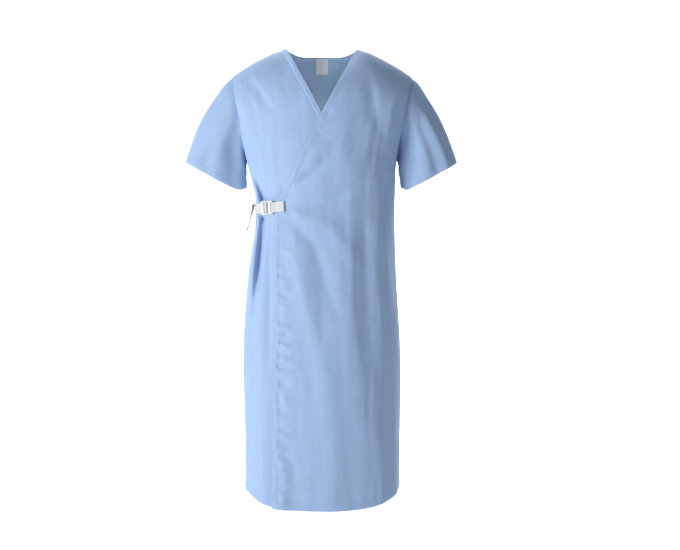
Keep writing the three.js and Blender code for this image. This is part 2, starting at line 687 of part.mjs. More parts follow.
turned(
  "inner_snap_cap",
  [
    [0, 0],
    [SNAP_RADIUS, 0],
    [SNAP_RADIUS, SNAP_PLATE],
    [PRONG, SNAP_PLATE],
    [PRONG, studDepth - capDepth + SNAP_PLATE - GAP],
    [0, studDepth - capDepth + SNAP_PLATE - GAP],
  ],
  capDepth,
);
turned(
  "inner_snap_stud",
  [
    [PRONG + GAP, 0],
    [SNAP_RADIUS, 0],
    [SNAP_RADIUS, SNAP_PLATE],
    [SNAP_BALL.radius - 0.4, SNAP_PLATE],
    [SNAP_BALL.radius, SNAP_PLATE + SNAP_BALL.length * 0.7],
    [0, SNAP_PLATE + SNAP_BALL.length],
    [0, SNAP_PLATE],
    [PRONG + GAP, SNAP_PLATE],
    [PRONG + GAP, 0],
  ],
  studDepth,
);
turned(
  "inner_snap_socket",
  [
    [SNAP_BALL.radius + GAP, 0],
    [SNAP_RADIUS, 0],
    [SNAP_RADIUS, socketHole + SNAP_PLATE],
    [PRONG + GAP, socketHole + SNAP_PLATE],
    [PRONG + GAP, socketHole],
    [SNAP_BALL.radius + GAP, socketHole],
    [SNAP_BALL.radius + GAP, 0],
  ],
  socketDepth,
);
turned(
  "inner_snap_button",
  [
    [0, -SNAP_GAP - CLOTH - SNAP_GAP - SNAP_PLATE / 2],
    [PRONG, -SNAP_GAP - CLOTH - SNAP_GAP - SNAP_PLATE / 2],
    [PRONG, 0],
    [SNAP_RADIUS, 0],
    [SNAP_RADIUS, SNAP_PLATE],
    [0, SNAP_PLATE],
  ],
  buttonDepth,
);

export default gown;
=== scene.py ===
import bmesh
import bpy
import numpy as np
from mathutils import Matrix, Vector


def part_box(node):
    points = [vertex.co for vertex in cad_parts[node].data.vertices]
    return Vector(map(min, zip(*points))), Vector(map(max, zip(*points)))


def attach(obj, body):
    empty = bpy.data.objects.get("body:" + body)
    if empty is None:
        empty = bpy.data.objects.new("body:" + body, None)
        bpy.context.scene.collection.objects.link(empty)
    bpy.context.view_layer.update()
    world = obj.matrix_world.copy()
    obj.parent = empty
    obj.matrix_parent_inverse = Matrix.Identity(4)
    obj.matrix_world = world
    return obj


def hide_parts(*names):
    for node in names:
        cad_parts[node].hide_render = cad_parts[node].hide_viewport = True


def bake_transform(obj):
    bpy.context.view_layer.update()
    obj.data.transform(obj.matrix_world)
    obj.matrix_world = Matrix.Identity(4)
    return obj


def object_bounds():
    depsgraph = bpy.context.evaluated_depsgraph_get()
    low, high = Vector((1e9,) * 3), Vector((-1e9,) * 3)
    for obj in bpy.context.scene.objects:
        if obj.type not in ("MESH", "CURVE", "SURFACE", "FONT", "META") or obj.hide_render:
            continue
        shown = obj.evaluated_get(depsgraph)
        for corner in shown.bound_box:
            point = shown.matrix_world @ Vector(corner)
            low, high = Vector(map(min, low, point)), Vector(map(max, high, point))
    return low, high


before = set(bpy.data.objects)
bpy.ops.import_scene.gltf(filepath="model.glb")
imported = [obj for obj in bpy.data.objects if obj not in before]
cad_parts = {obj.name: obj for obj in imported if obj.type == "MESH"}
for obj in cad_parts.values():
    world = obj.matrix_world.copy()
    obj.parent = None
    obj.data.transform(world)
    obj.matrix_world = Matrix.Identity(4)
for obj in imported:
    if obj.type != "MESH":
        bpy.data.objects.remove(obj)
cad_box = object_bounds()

# ---- Studio ------------------------------------------------------------------------------------------
# The gown floats over a pale floor that sweeps up into a backdrop, with a large soft light high on the
# left, a weaker one on the right, and light from the walls and floor all round.

FLOOR_DROP = 0.16  # from the hem down to the floor
PAPER = (0.93, 0.93, 0.93)


def plain_material(name, colour, roughness=0.9):
    """Even, matt paper."""
    material = bpy.data.materials.new(name)
    material.use_nodes = True
    shader = material.node_tree.nodes["Principled BSDF"]
    shader.inputs["Base Color"].default_value = (*colour, 1)
    shader.inputs["Roughness"].default_value = roughness
    return material


def sweep(width, front, back, height, radius):
    """A floor that runs back and curves up into a wall, as one strip of faces."""
    turn = np.linspace(0, np.pi / 2, 17)
    curve_y = back - radius + radius * np.sin(turn)
    curve_z = radius - radius * np.cos(turn)
    line = [(front, 0.0), *zip(curve_y, curve_z), (back, height)]
    points = [(x, y, z) for y, z in line for x in (-width / 2, width / 2)]
    faces = [(2 * i, 2 * i + 1, 2 * i + 3, 2 * i + 2) for i in range(len(line) - 1)]
    mesh = bpy.data.meshes.new("studio_floor")
    mesh.from_pydata(points, [], faces)
    mesh.shade_smooth()
    for strip in mesh.polygons[1:]:
        strip.material_index = 1
    return bpy.data.objects.new("studio_floor", mesh)


floor = sweep(width=14, front=-6, back=3.2, height=7, radius=1.6)
floor.data.transform(Matrix.Translation((0, 0, cad_box[0][2] - FLOOR_DROP)))
floor.data.materials.append(plain_material("studio_paper", PAPER))
lit_paper = plain_material("lit_studio_paper", PAPER)
lit_shader = lit_paper.node_tree.nodes["Principled BSDF"]
lit_shader.inputs["Emission Color"].default_value = (1, 1, 1, 1)
lit_shader.inputs["Emission Strength"].default_value = 0.85  # the wall is lit from behind
# Only its front can be seen, so that a view from behind looks through it.
lit_nodes, lit_links = lit_paper.node_tree.nodes, lit_paper.node_tree.links
one_way = lit_nodes.new("ShaderNodeMixShader")
lit_links.new(lit_nodes.new("ShaderNodeNewGeometry").outputs["Backfacing"], one_way.inputs[0])
lit_links.new(lit_shader.outputs[0], one_way.inputs[1])
lit_links.new(lit_nodes.new("ShaderNodeBsdfTransparent").outputs[0], one_way.inputs[2])
lit_links.new(one_way.outputs[0], lit_nodes["Material Output"].inputs["Surface"])
floor.data.materials.append(lit_paper)
bpy.context.scene.collection.objects.link(floor)


def softbox(name, place, aim, size, power):
    """A rectangular light that faces a point."""
    light = bpy.data.lights.new(name, "AREA")
    light.shape = "RECTANGLE"
    light.size, light.size_y = size
    light.energy = power
    lamp = bpy.data.objects.new(name, light)
    lamp.location = place
    lamp.rotation_euler = (Vector(aim) - Vector(place)).to_track_quat("-Z", "Y").to_euler()
    bpy.context.scene.collection.objects.link(lamp)
    return lamp


MIDDLE = (0, 0, -0.5)
softbox("key_light", (-3.0, -2.4, -0.05), MIDDLE, (1.2, 1.8), 126)
softbox("fill_light", (2.2, -3.0, 0.1), MIDDLE, (1.6, 2.4), 11)
softbox("back_light", (0.0, 1.9, 1.9), (0, 1.3, -1.2), (3.0, 0.9), 85)

# A narrow beam falls through the neck opening on the inside of the back.
neck_light = softbox("neck_light", (0.25, -2.0, 0.55), (0, 0.06, -0.040), (0.06, 0.04), 0.045)
neck_light.data.spread = np.radians(7)

world = bpy.data.worlds.new("studio_air")
world.use_nodes = True
air_nodes, air_links = world.node_tree.nodes, world.node_tree.links
air_nodes["Background"].inputs["Color"].default_value = (0.80, 0.90, 1.0, 1)
air_nodes["Background"].inputs["Strength"].default_value = 0.20
# The air gives blue light, but looks plain and pale to the camera.
pale_air, seen_air = air_nodes.new("ShaderNodeBackground"), air_nodes.new("ShaderNodeMixShader")
pale_air.inputs["Color"].default_value = (0.90, 0.90, 0.90, 1)
air_links.new(air_nodes.new("ShaderNodeLightPath").outputs["Is Camera Ray"], seen_air.inputs[0])
air_links.new(air_nodes["Background"].outputs[0], seen_air.inputs[1])
air_links.new(pale_air.outputs[0], seen_air.inputs[2])
air_links.new(seen_air.outputs[0], air_nodes["World Output"].inputs["Surface"])
bpy.context.scene.world = world
bpy.context.scene.view_settings.view_transform = "Standard"

# The camera stands level at chest height, straight in front, with a long lens.
CAMERA_DISTANCE = 3.4
CAMERA_HEIGHT = -0.37
SEEN_WIDTH = 1.693  # what the frame takes in at the middle of the gown
SEEN_CENTRE = (0.045, -0.561)
camera_data = bpy.data.cameras.new("camera")
camera_data.sensor_width = 36
camera_data.lens = 36 * CAMERA_DISTANCE / SEEN_WIDTH
camera_data.shift_x = SEEN_CENTRE[0] / SEEN_WIDTH
camera_data.shift_y = (SEEN_CENTRE[1] - CAMERA_HEIGHT) / SEEN_WIDTH
camera = bpy.data.objects.new("camera", camera_data)
camera.location = (0, -CAMERA_DISTANCE, CAMERA_HEIGHT)
camera.rotation_euler = (np.pi / 2, 0, 0)
bpy.context.scene.collection.objects.link(camera)
bpy.context.scene.camera = camera

# ---- Back panel --------------------------------------------------------------------------------------
# One piece of light blue polyester and cotton cloth from the shoulder seams to the hem, cut in a shallow
# curve at the neck. It is sewn to the fronts at the shoulders and sides, and its hem is turned up twice.

CLOTH = 0.0012  # the room that a layer takes in the frame
CLOTH_FACE = CLOTH * 0.9  # how far its outer face stands off the form
FACING_THICK = 0.0009
GAP = 0.00035
EASE = 0.0011
NECK_HALF = 0.087
NECK_RISE = 0.030
BACK_NECK = -0.013
SHOULDER_SLOPE = 0.3
SHOULDER_ROUND = 1.6
SHOULDER_TIP = 0.222
CAP_FOOT = -0.150
ARMPIT = -0.265
WAIST = -0.396
HEM = -1.122
HEM_LIFT = 0.034
ROUNDNESS = 0.85
FACING = 0.014
HEM_DEPTH = 0.019
STATIONS = np.array([0.040, -0.110, ARMPIT, WAIST, -0.560, -0.740, -0.940, -1.130])
FORM = {
    "right": [0.240, 0.232, 0.186, 0.162, 0.182, 0.194, 0.189, 0.187],
    "left": [0.240, 0.232, 0.186, 0.180, 0.184, 0.194, 0.193, 0.191],
    "front": [0.112, 0.122, 0.126, 0.115, 0.119, 0.122, 0.120, 0.118],
    "back": [0.088, 0.102, 0.106, 0.092, 0.104, 0.113, 0.114, 0.113],
}
FRONT, BACK = -1, 1
SEAM_DROP = 0.35
DEGREE = 0.0024  # metres of cloth round the body to a degree
SNAP_ACROSS = 0.1075  # from the middle of the front to the snap inside it


def smooth(value, low, high):
    """Rises from 0 to 1 between two values, level at both."""
    t = np.clip((value - low) / (high - low), 0, 1)
    return t * t * (3 - 2 * t)


def form(measure, z):
    """One of the form's half widths or depths at a height."""
    heights = STATIONS[::-1]
    sizes = np.array(FORM[measure])[::-1]
    around = np.arange(len(sizes))
    low, high = np.maximum(around - 1, 0), np.minimum(around + 1, len(sizes) - 1)
    slopes = (sizes[high] - sizes[low]) / (heights[high] - heights[low])
    i = np.clip(np.searchsorted(heights, z), 1, len(sizes) - 1)
    span = heights[i] - heights[i - 1]
    t = np.clip((z - heights[i - 1]) / span, 0, 1)
    line = sizes[i - 1] + (sizes[i] - sizes[i - 1]) * t * t * (3 - 2 * t)
    return line + t * (1 - t) * ((1 - t) * slopes[i - 1] - t * slopes[i]) * span


def half_width(x, z):
    return np.where(x < 0, form("right", z), form("left", z))


def shoulder(x):
    past = np.abs(x) - NECK_HALF
    dome = NECK_RISE * (1 - (x / NECK_HALF) ** 2)
    return np.where(past < 0, dome, -SHOULDER_SLOPE * past - SHOULDER_ROUND * past * past)


def face(side, angle, drop):
    """The form under the cloth. angle is round the body, drop is degrees over the shoulder, then mm down."""
    angle, drop = np.broadcast_arrays(np.asarray(angle, float), np.asarray(drop, float))
    across = np.sin(np.radians(angle))
    over = np.radians(np.maximum(0, 90 - drop))
    rise = HEM_LIFT / (CAP_FOOT - HEM) * across**4
    z = CAP_FOOT - np.maximum(0, drop - 90) * 0.001 * (1 - rise)
    x = across * half_width(across, z)
    cap = drop < 90
    for _ in range(12):
        z = np.where(cap, CAP_FOOT + (shoulder(x) - CAP_FOOT) * np.sin(over), z)
        x = across * half_width(across, z)
    depth = form("front" if side == FRONT else "back", z)
    inward = np.maximum(0, np.cos(np.radians(angle))) ** ROUNDNESS
    return np.stack([x, side * depth * inward * np.cos(over), z], axis=-1)


def drop_to(z):
    return 90 + (CAP_FOOT - z) * 1000


def angle_on(side, drop, line):
    """The angle at which a line seen from the front, x = line(z), crosses each row."""
    angle = np.zeros(np.broadcast(drop, line(np.asarray(drop) * 0)).shape)
    for _ in range(24):
        z = face(side, angle, drop)[..., 2]
        x = line(z)
        angle = np.degrees(np.arcsin(np.clip(x / half_width(x, z), -1, 1)))
    return angle


TIP_HEIGHT = float(shoulder(SHOULDER_TIP))
CHEST = FORM["left"][2]
SEAM_ANGLE = 90.2  # each panel runs a little past the side seam, so that no light comes through it


def side_edge(side, drop, hand):
    """The armhole and then the side seam. hand is -1 on the right and 1 on the left."""

    def armhole(z):
        down = np.clip((TIP_HEIGHT - z) / (TIP_HEIGHT - ARMPIT), 0, 1)
        return hand * (SHOULDER_TIP + (CHEST - SHOULDER_TIP) * down)

    seam = face(side, hand * 90.0, drop)[..., 2] <= ARMPIT
    inner = np.minimum(89.9, np.abs(angle_on(side, drop, armhole)))
    return hand * np.where(seam, SEAM_ANGLE, inner)


def wrinkle_noise(u, v, seed):
    """Smooth noise from -1 to 1 on a lattice of unit squares."""
    table = np.random.default_rng(seed).uniform(-1, 1, (64, 64))
    iu, iv = np.floor(u).astype(int), np.floor(v).astype(int)
    fu, fv = u - iu, v - iv
    fu, fv = fu * fu * (3 - 2 * fu), fv * fv * (3 - 2 * fv)

    def at(a, b):
        return table[(iu + a) % 64, (iv + b) % 64]

    low = at(0, 0) * (1 - fu) + at(1, 0) * fu
    high = at(0, 1) * (1 - fu) + at(1, 1) * fu
    return low * (1 - fv) + high * fv


def hump(value, middle, width):
    """Rises to 1 at its middle and falls away on both sides."""
    return np.exp(-(((value - middle) / width) ** 2))


def crease(x, z, path, width, height, other=None):
    """A fold along a path of (x, z) points that fades at both ends. other is its width on the far side."""
    path = np.array(path)
    lengths = np.linalg.norm(np.diff(path, axis=0), axis=1)
    total = lengths.sum()
    best = np.full(np.shape(x), 9.0)
    signed = np.zeros(np.shape(x))
    along = np.zeros(np.shape(x))
    start = 0.0
    for a, b, length in zip(path[:-1], path[1:], lengths):
        d = (b - a) / length
        s = np.clip((x - a[0]) * d[0] + (z - a[1]) * d[1], 0, length)
        away = np.hypot(x - a[0] - s * d[0], z - a[1] - s * d[1])
        near = away < best
        cross = d[0] * (z - a[1]) - d[1] * (x - a[0])
        signed = np.where(near, np.where(cross < 0, -away, away), signed)
        along = np.where(near, (start + s) / total, along)
        best = np.minimum(best, away)
        start += length
    widths = np.where(signed < 0, width if other is None else other, width)
    fade = np.sin(np.pi * np.clip(along, 0, 1)) ** 0.7
    return height * fade * np.exp(-((best / widths) ** 2))


# A fold is its path, its width, its height and, on some, its width on the far side.
BACK_FOLDS = [
    ([(-0.02, -0.05), (-0.03, -0.30), (-0.02, -0.60)], 0.030, -0.004),
    ([(0.15, -0.10), (0.11, -0.30), (0.10, -0.55)], 0.020, 0.004),
    ([(-0.16, -0.12), (-0.12, -0.30), (-0.13, -0.52)], 0.018, 0.004),
    ([(-0.158, -0.40), (-0.06, -0.46), (0.04, -0.60)], 0.018, 0.003),
    ([(0.05, -0.45), (0.06, -0.80), (0.05, -1.14)], 0.026, -0.004),
    ([(-0.08, -0.50), (-0.07, -0.85), (-0.09, -1.14)], 0.024, 0.004),
]
FRONT_FOLDS = [
    # The strap gathers the cloth at the right waist, and folds run out from it.
    ([(-0.155, -0.335), (-0.147, -0.368), (-0.143, -0.385)], 0.006, -0.003, 0.009),
    ([(-0.141, -0.405), (-0.149, -0.470), (-0.166, -0.610)], 0.008, -0.003, 0.012),
    ([(-0.196, -0.190), (-0.172, -0.280), (-0.150, -0.372)], 0.012, 0.006, 0.018),
    ([(-0.134, -0.325), (-0.130, -0.372)], 0.006, -0.003),
    ([(-0.124, -0.400), (-0.127, -0.520), (-0.127, -0.800)], 0.0065, -0.0048, 0.010),
    ([(-0.110, -0.360), (-0.045, -0.330), (0.025, -0.255)], 0.008, -0.0036, 0.016),
    ([(-0.095, -0.345), (-0.030, -0.295), (0.020, -0.235)], 0.014, 0.0030),
    ([(-0.098, -0.400), (0.010, -0.385), (0.110, -0.330)], 0.012, -0.0028),
    ([(-0.100, -0.405), (-0.060, -0.520), (0.000, -0.760), (0.02, -0.98)], 0.022, 0.0050),
    ([(-0.100, -0.400), (-0.020, -0.480), (0.045, -0.680)], 0.016, -0.0036),
    ([(-0.090, -0.398), (0.020, -0.440), (0.105, -0.560)], 0.018, 0.0034),
    # Long soft folds hang from the chest to the hem on the left.
    ([(0.100, -0.42), (0.122, -0.70), (0.146, -0.90), (0.150, -1.04)], 0.038, -0.0062, 0.026),
    ([(0.058, -0.44), (0.072, -0.70), (0.088, -0.92), (0.092, -1.08)], 0.030, 0.0040),
    ([(0.172, -0.47), (0.178, -0.56), (0.186, -0.66)], 0.008, -0.0055),
    ([(0.186, -0.27), (0.165, -0.40), (0.150, -0.52)], 0.012, 0.0034),
    # Soft folds fall from the shoulders across the chest.
    ([(-0.180, -0.075), (-0.150, -0.115), (-0.118, -0.165)], 0.010, -0.0046, 0.018),
    ([(-0.215, -0.100), (-0.190, -0.150), (-0.178, -0.230)], 0.012, 0.0048),
    ([(0.105, -0.060), (0.122, -0.120), (0.132, -0.215)], 0.012, -0.0050, 0.020),
    ([(0.190, -0.090), (0.165, -0.160), (0.160, -0.260)], 0.014, 0.0036),
    ([(0.060, -0.130), (0.050, -0.230), (0.060, -0.330)], 0.024, 0.0030),
]


def drape(side, angle, x, z):
    """How far the hanging cloth stands off its form, from its folds, in metres."""
    turn = np.radians(angle if side == FRONT else 180 - angle)
    low = smooth(-z, 0.42, 0.95)
    deep = smooth(-z, 0.30, 0.62)
    waves = 0.0020 * low * np.cos(7 * turn + 0.6 + 1.2 * z)
    waves = waves + 0.0009 * deep * np.cos(12 * turn + 2.1 - 2.0 * z)
    waves = waves + 0.0004 * deep * np.cos(19 * turn + 0.4 + 3.1 * z)
    waves = waves * smooth(90 - np.abs(angle), -12, 9)
    loose = smooth(90 - np.abs(angle), 0, 9)  # the side seams hold the cloth to one line
    off = 0.0016 * wrinkle_noise(turn * 5 + 9, z * 5 + 40, 3) * smooth(-z, 0.05, 0.3)
    off = off + 0.0007 * wrinkle_noise(turn * 13 + 9, z * 11 + 40, 4)
    creased = smooth(-z, 0.03, 0.12)
    off = off + 0.00055 * creased * wrinkle_noise(turn * 7.5 + z * 9 + 20, z * 36 - turn * 3 + 90, 5)
    off = off + 0.00030 * creased * wrinkle_noise(turn * 17 - z * 11 + 30, z * 70 + turn * 4 + 130, 6)
    for fold in BACK_FOLDS if side == BACK else FRONT_FOLDS:
        off = off + crease(x, z, *fold)
    if side == BACK:
        return waves + off * loose
    # The strap holds the cloth flat under it.
    held = (1 - smooth(np.abs(z - WAIST), 0.013, 0.028)) * (1 - smooth(x, -0.100, -0.070))
    snap = np.exp(-(((x - SNAP_ACROSS) / 0.026) ** 2) - ((z - WAIST) / 0.030) ** 2)
    return (waves + off * loose) * (1 - 0.94 * held) * (1 - 0.9 * snap)


def grid_normals(points, outwards):
    """Unit normals of a grid of points, turned to agree with outwards."""
    normal = np.cross(np.gradient(points, axis=1), np.gradient(points, axis=0))
    normal /= np.maximum(np.linalg.norm(normal, axis=-1, keepdims=True), 1e-12)
    flip = np.sign(np.sum(normal * outwards, axis=-1, keepdims=True))
    return normal * np.where(flip == 0, 1, flip)


def away_from_body(points):
    """Roughly outwards from the middle of the body, and upwards on the shoulders."""
    return points * np.array([1, 2, 0]) + np.array([0, 0, 0.05])


def sheet_object(name, points, lengths, materials, round_=False, thick=0.00055):
    """A grid of points as a sheet of cloth, with its own UV map in metres and a thickness inwards."""
    rows, columns = points.shape[:2]
    index = np.arange(rows * columns).reshape(rows, columns)
    if round_:
        index = np.column_stack([index, index[:, 0]])
    quads = np.stack([index[:-1, :-1], index[1:, :-1], index[1:, 1:], index[:-1, 1:]], axis=-1)
    mesh = bpy.data.meshes.new(name)
    mesh.from_pydata(points.reshape(-1, 3).tolist(), [], quads.reshape(-1, 4).tolist())
    across, down = lengths
    wide = np.column_stack([across, across[:, -1:] * 2 - across[:, -2:-1]]) if round_ else across
    tall = np.column_stack([down, down[:, :1]]) if round_ else down
    uv = np.stack([wide, tall], axis=-1)
    corners = np.stack([uv[:-1, :-1], uv[1:, :-1], uv[1:, 1:], uv[:-1, 1:]], axis=2)
    layer = mesh.uv_layers.new(name="cloth")
    layer.data.foreach_set("uv", corners.reshape(-1).astype(np.float32))
    mesh.shade_smooth()
    for material in materials:
        mesh.materials.append(material)
    piece = bpy.data.objects.new(name, mesh)
    bpy.context.scene.collection.objects.link(piece)
    solidify = piece.modifiers.new("thickness", "SOLIDIFY")
    solidify.thickness = thick
    solidify.offset = -1
    solidify.use_even_offset = False
    solidify.use_rim = True
    return piece


def cloth_lengths(points):
    """Distances along the rows and down the columns of a grid, for its UV map."""
    across = np.zeros(points.shape[:2])
    down = np.zeros(points.shape[:2])
    across[:, 1:] = np.cumsum(np.linalg.norm(np.diff(points, axis=1), axis=-1), axis=1)
    across -= across[:, across.shape[1] // 2][:, None]
    down[1:] = np.cumsum(np.linalg.norm(np.diff(points, axis=0), axis=-1), axis=0)
    return across, down


class Socket:
    """A shader socket that adds Math nodes when it is used in an expression."""

    def __init__(self, tree, socket):
        self.tree, self.socket = tree, socket

    def math(self, operation, *values):
        return Nodes(self.tree).add("ShaderNodeMath", {"operation": operation}, self, *values)

    def __add__(self, other):
        return self.math("ADD", other)

    def __mul__(self, other):
        return self.math("MULTIPLY", other)

    def __sub__(self, other):
        return self.math("SUBTRACT", other)

    def __rsub__(self, other):
        return Nodes(self.tree).add("ShaderNodeMath", {"operation": "SUBTRACT"}, other, self)

    __radd__, __rmul__ = __add__, __mul__


class Nodes:
    """Adds nodes to a tree: a type, its settings, then the values or links of its sockets."""

    def __init__(self, tree):
        self.tree = tree

    def feed(self, shader, name, value):
        self.tree.links.new(value.socket, shader.inputs[name])

    def add(self, kind, settings=None, *values, output=0, **named):
        node = self.tree.nodes.new(kind)
        for key, value in (settings or {}).items():
            if key == "stops":
                while len(node.color_ramp.elements) > 1:
                    node.color_ramp.elements.remove(node.color_ramp.elements[-1])
                for i, (at, colour) in enumerate(value):
                    stop = node.color_ramp.elements[0] if i == 0 else node.color_ramp.elements.new(at)
                    stop.position = at
                    stop.color = colour
            else:
                setattr(node, key, value)
        pairs = [(node.inputs[i], v) for i, v in enumerate(values)]
        pairs += [(node.inputs[k.replace("_", " ")], v) for k, v in named.items()]
        for socket, value in pairs:
            if isinstance(value, Socket):
                self.tree.links.new(value.socket, socket)
            elif value is not None:
                socket.default_value = value
        return Socket(self.tree, node.outputs[output])


def mix_colour(nodes, factor, a, b):
    """Mixes two colours. The node's sockets for them come after five for numbers and vectors."""
    return nodes.add("ShaderNodeMix", {"data_type": "RGBA"}, factor, *[None] * 5, a, b, output=2)


def new_material(name):
    """A material with its shader, and the means to add nodes to it."""
    material = bpy.data.materials.new(name)
    material.use_nodes = True
    tree = material.node_tree
    return material, tree.nodes["Principled BSDF"], Nodes(tree)


CLOTH_BLUE = (0.322, 0.452, 0.676, 1)


def cloth_material(name, colour, weave=2200.0, slub=0.5):
    """Plain-weave cloth: crossed threads, slubs along them, and a little unevenness in the dye."""
    material, shader, nodes = new_material(name)
    uv = nodes.add("ShaderNodeUVMap", {"uv_map": "cloth"})
    u, v = (nodes.add("ShaderNodeSeparateXYZ", None, uv, output=axis) for axis in (0, 1))
    warp = (u * weave).math("SINE")
    weft = (v * weave).math("SINE")
    threads = (warp * weft) * 0.5 + 0.5
    long_way = nodes.add("ShaderNodeMapping", None, uv, Scale=(900.0, 26.0, 1.0))
    cross_way = nodes.add("ShaderNodeMapping", None, uv, Scale=(26.0, 900.0, 1.0))
    slub_a = nodes.add("ShaderNodeTexNoise", None, Vector=long_way, Scale=1.0, Detail=2.0)
    slub_b = nodes.add("ShaderNodeTexNoise", None, Vector=cross_way, Scale=1.0, Detail=2.0)
    slubs = slub_a * 0.5 + slub_b * 0.5
    streak_way = nodes.add("ShaderNodeMapping", None, uv, Scale=(330.0, 16.0, 1.0))
    streaks = nodes.add("ShaderNodeTexNoise", None, Vector=streak_way, Scale=1.0, Detail=3.0)
    cloud = nodes.add("ShaderNodeTexNoise", None, Vector=uv, Scale=18.0, Detail=3.0)
    dark = tuple(c * 0.90 for c in colour[:3]) + (1,)
    light = tuple(min(1, c * 1.06) for c in colour[:3]) + (1,)
    dyed = mix_colour(nodes, cloud, dark, light)
    thin = tuple(c * 0.86 for c in colour[:3]) + (1,)
    thick = tuple(min(1, c * 1.12) for c in colour[:3]) + (1,)
    threaded = mix_colour(nodes, (slubs - 0.5) * slub + (streaks - 0.5) * 1.3 + 0.5, thin, thick)
    nodes.feed(shader, "Base Color", mix_colour(nodes, 0.5, dyed, threaded))
    rough = cloud * 0.08 + 0.80
    nodes.feed(shader, "Roughness", rough)
    height = threads * 0.5 + slubs * 0.8
    bump = nodes.add("ShaderNodeBump", None, Strength=0.35, Distance=0.00025, Height=height)
    nodes.feed(shader, "Normal", bump)
    shader.inputs["Sheen Weight"].default_value = 0.12
    shader.inputs["Sheen Roughness"].default_value = 0.5
    shader.inputs["Specular IOR Level"].default_value = 0.25
    return material


cloth = cloth_material("blue_cloth", CLOTH_BLUE)


def tucked(distance, reach=0.003, depth=0.0012):
    """How far a seamed edge turns in, by the distance from it."""
    return -depth * (1 - smooth(distance, 0, reach))


def rippled(distance, along, inner, outer, pitch, height, seed):
    """Puckers between two distances from an edge, where stitching has drawn the cloth up."""
    window = smooth(distance, inner - 0.004, inner + 0.002) * (1 - smooth(distance, outer, outer + 0.010))
    return height * window * wrinkle_noise(along / pitch, distance / 0.03 + 7, seed)


# Rows run from the shoulder seam over the shoulder and down to the hem, closer together at the hem.
CAP_ROWS = np.linspace(SEAM_DROP, 90, 34)[:-1]
LONG_ROWS = np.arange(drop_to(CAP_FOOT), drop_to(HEM + 0.030), 4.0)
HEM_STEPS = np.array([28.5, 25, 22, 20.5, 19, 18, 16.5, 14, 10, 6, 3, 1, 0])  # up from the hem, in mm
STITCH_STEP = 4  # the row that the hem's stitching is on, counted from the first
ROWS = np.concatenate([CAP_ROWS, LONG_ROWS, drop_to(HEM) - HEM_STEPS])


def hemmed(points, normals, count=9, lift=0.0013):
    """Adds the ply that is turned up inside a hem: the last rows again, upwards and further in."""
    inner = points[-2 : -count - 2 : -1] - normals[-2 : -count - 2 : -1] * lift
    return np.concatenate([points, inner])


def hem_relief(edge_distance, along, seed):
    """The step at a hem's stitching and the small puckers round it."""
    line = 0.0004 * hump(edge_distance, HEM_DEPTH, 0.0016)
    step = 0.0005 * (1 - smooth(edge_distance, HEM_DEPTH - 0.001, HEM_DEPTH + 0.002))
    ripple = rippled(edge_distance, along, 0.004, HEM_DEPTH + 0.004, 0.014, 0.0011, seed)
    return step - line + ripple


NECK_SQUARENESS = 3
NECK_DROP = 90 - np.degrees(np.arcsin((BACK_NECK - CAP_FOOT) / (NECK_RISE - CAP_FOOT)))


def back_start(angle, drop):
    """Rows of the back, run on from its neck edge."""
    x = face(BACK, angle, SEAM_DROP)[..., 0]
    fullness = np.sqrt(np.maximum(0, 1 - np.abs(x / NECK_HALF) ** NECK_SQUARENESS))
    edge = SEAM_DROP + (NECK_DROP - SEAM_DROP) * fullness
    run = edge + (90 - edge) * (drop - SEAM_DROP) / (90 - SEAM_DROP)
    return np.where(drop < 90, run, drop)


def spread(low, high, offsets_low, offsets_high, count):
    """Angles of one row: fine steps at each edge, given in degrees, and even ones between."""
    middle = np.linspace(low + offsets_low[-1], high - offsets_high[-1], count + 2)[1:-1]
    return np.concatenate([low + offsets_low, middle, high - offsets_high[::-1]])


FINE = np.array([0.0, 0.4, 0.9, 1.6])
rows = ROWS[:, None]
low, high = side_edge(BACK, ROWS, -1), side_edge(BACK, ROWS, 1)
angles = np.array([spread(a, b, FINE, FINE, 96) for a, b in zip(low, high)])
drops = back_start(angles, rows)
base = face(BACK, angles, drops)
normals = grid_normals(base, away_from_body(base))
edge = np.minimum(angles - low[:, None], high[:, None] - angles) * DEGREE
fold = drape(BACK, angles, base[..., 0], base[..., 2])
from_hem = (drop_to(HEM) - rows) * 0.001
around = cloth_lengths(base)[0]
fold = fold + hem_relief(from_hem, around, 21) + tucked(edge)
top = np.linalg.norm(base - base[:1], axis=-1)
fold = fold + tucked(top, 0.003, 0.0008)
back_normals = normals
back_surface = base + back_normals * (CLOTH_FACE + fold)[..., None]
back_points = hemmed(back_surface, back_normals)
back_panel = sheet_object("back_panel_cloth", back_points, cloth_lengths(back_points), [cloth])
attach(back_panel, "gown")
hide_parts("back_panel")

# ---- Right front -------------------------------------------------------------------------------------
# The front that lies under, of the same cloth. Its neck and front edge runs from the shoulder across to the
# left and straight down, and the left front hides most of it.

CROSSING = -0.162
FRONT_EDGE = 0.116
SEAM_FINE = np.array([1.6, 0.9, 0.4, 0.0])  # degrees from the seams


def wrap_edge(z):
    """The left front's neck and front edge seen from the front. The right front's is its mirror image."""
    to_crossing = -NECK_HALF / CROSSING
    to_waist = (-FRONT_EDGE - NECK_HALF) / WAIST
    curve = (to_waist - to_crossing) / (WAIST - CROSSING)
    slope = to_crossing - curve * CROSSING
    return np.where(z < WAIST, -FRONT_EDGE, NECK_HALF + slope * z + curve * z * z)


def slant(z):
    """How much further apart the edge's lines are along x than square to it, where it runs slanting."""
    return 1 + 0.13 * smooth(z, WAIST - 0.012, WAIST + 0.02)


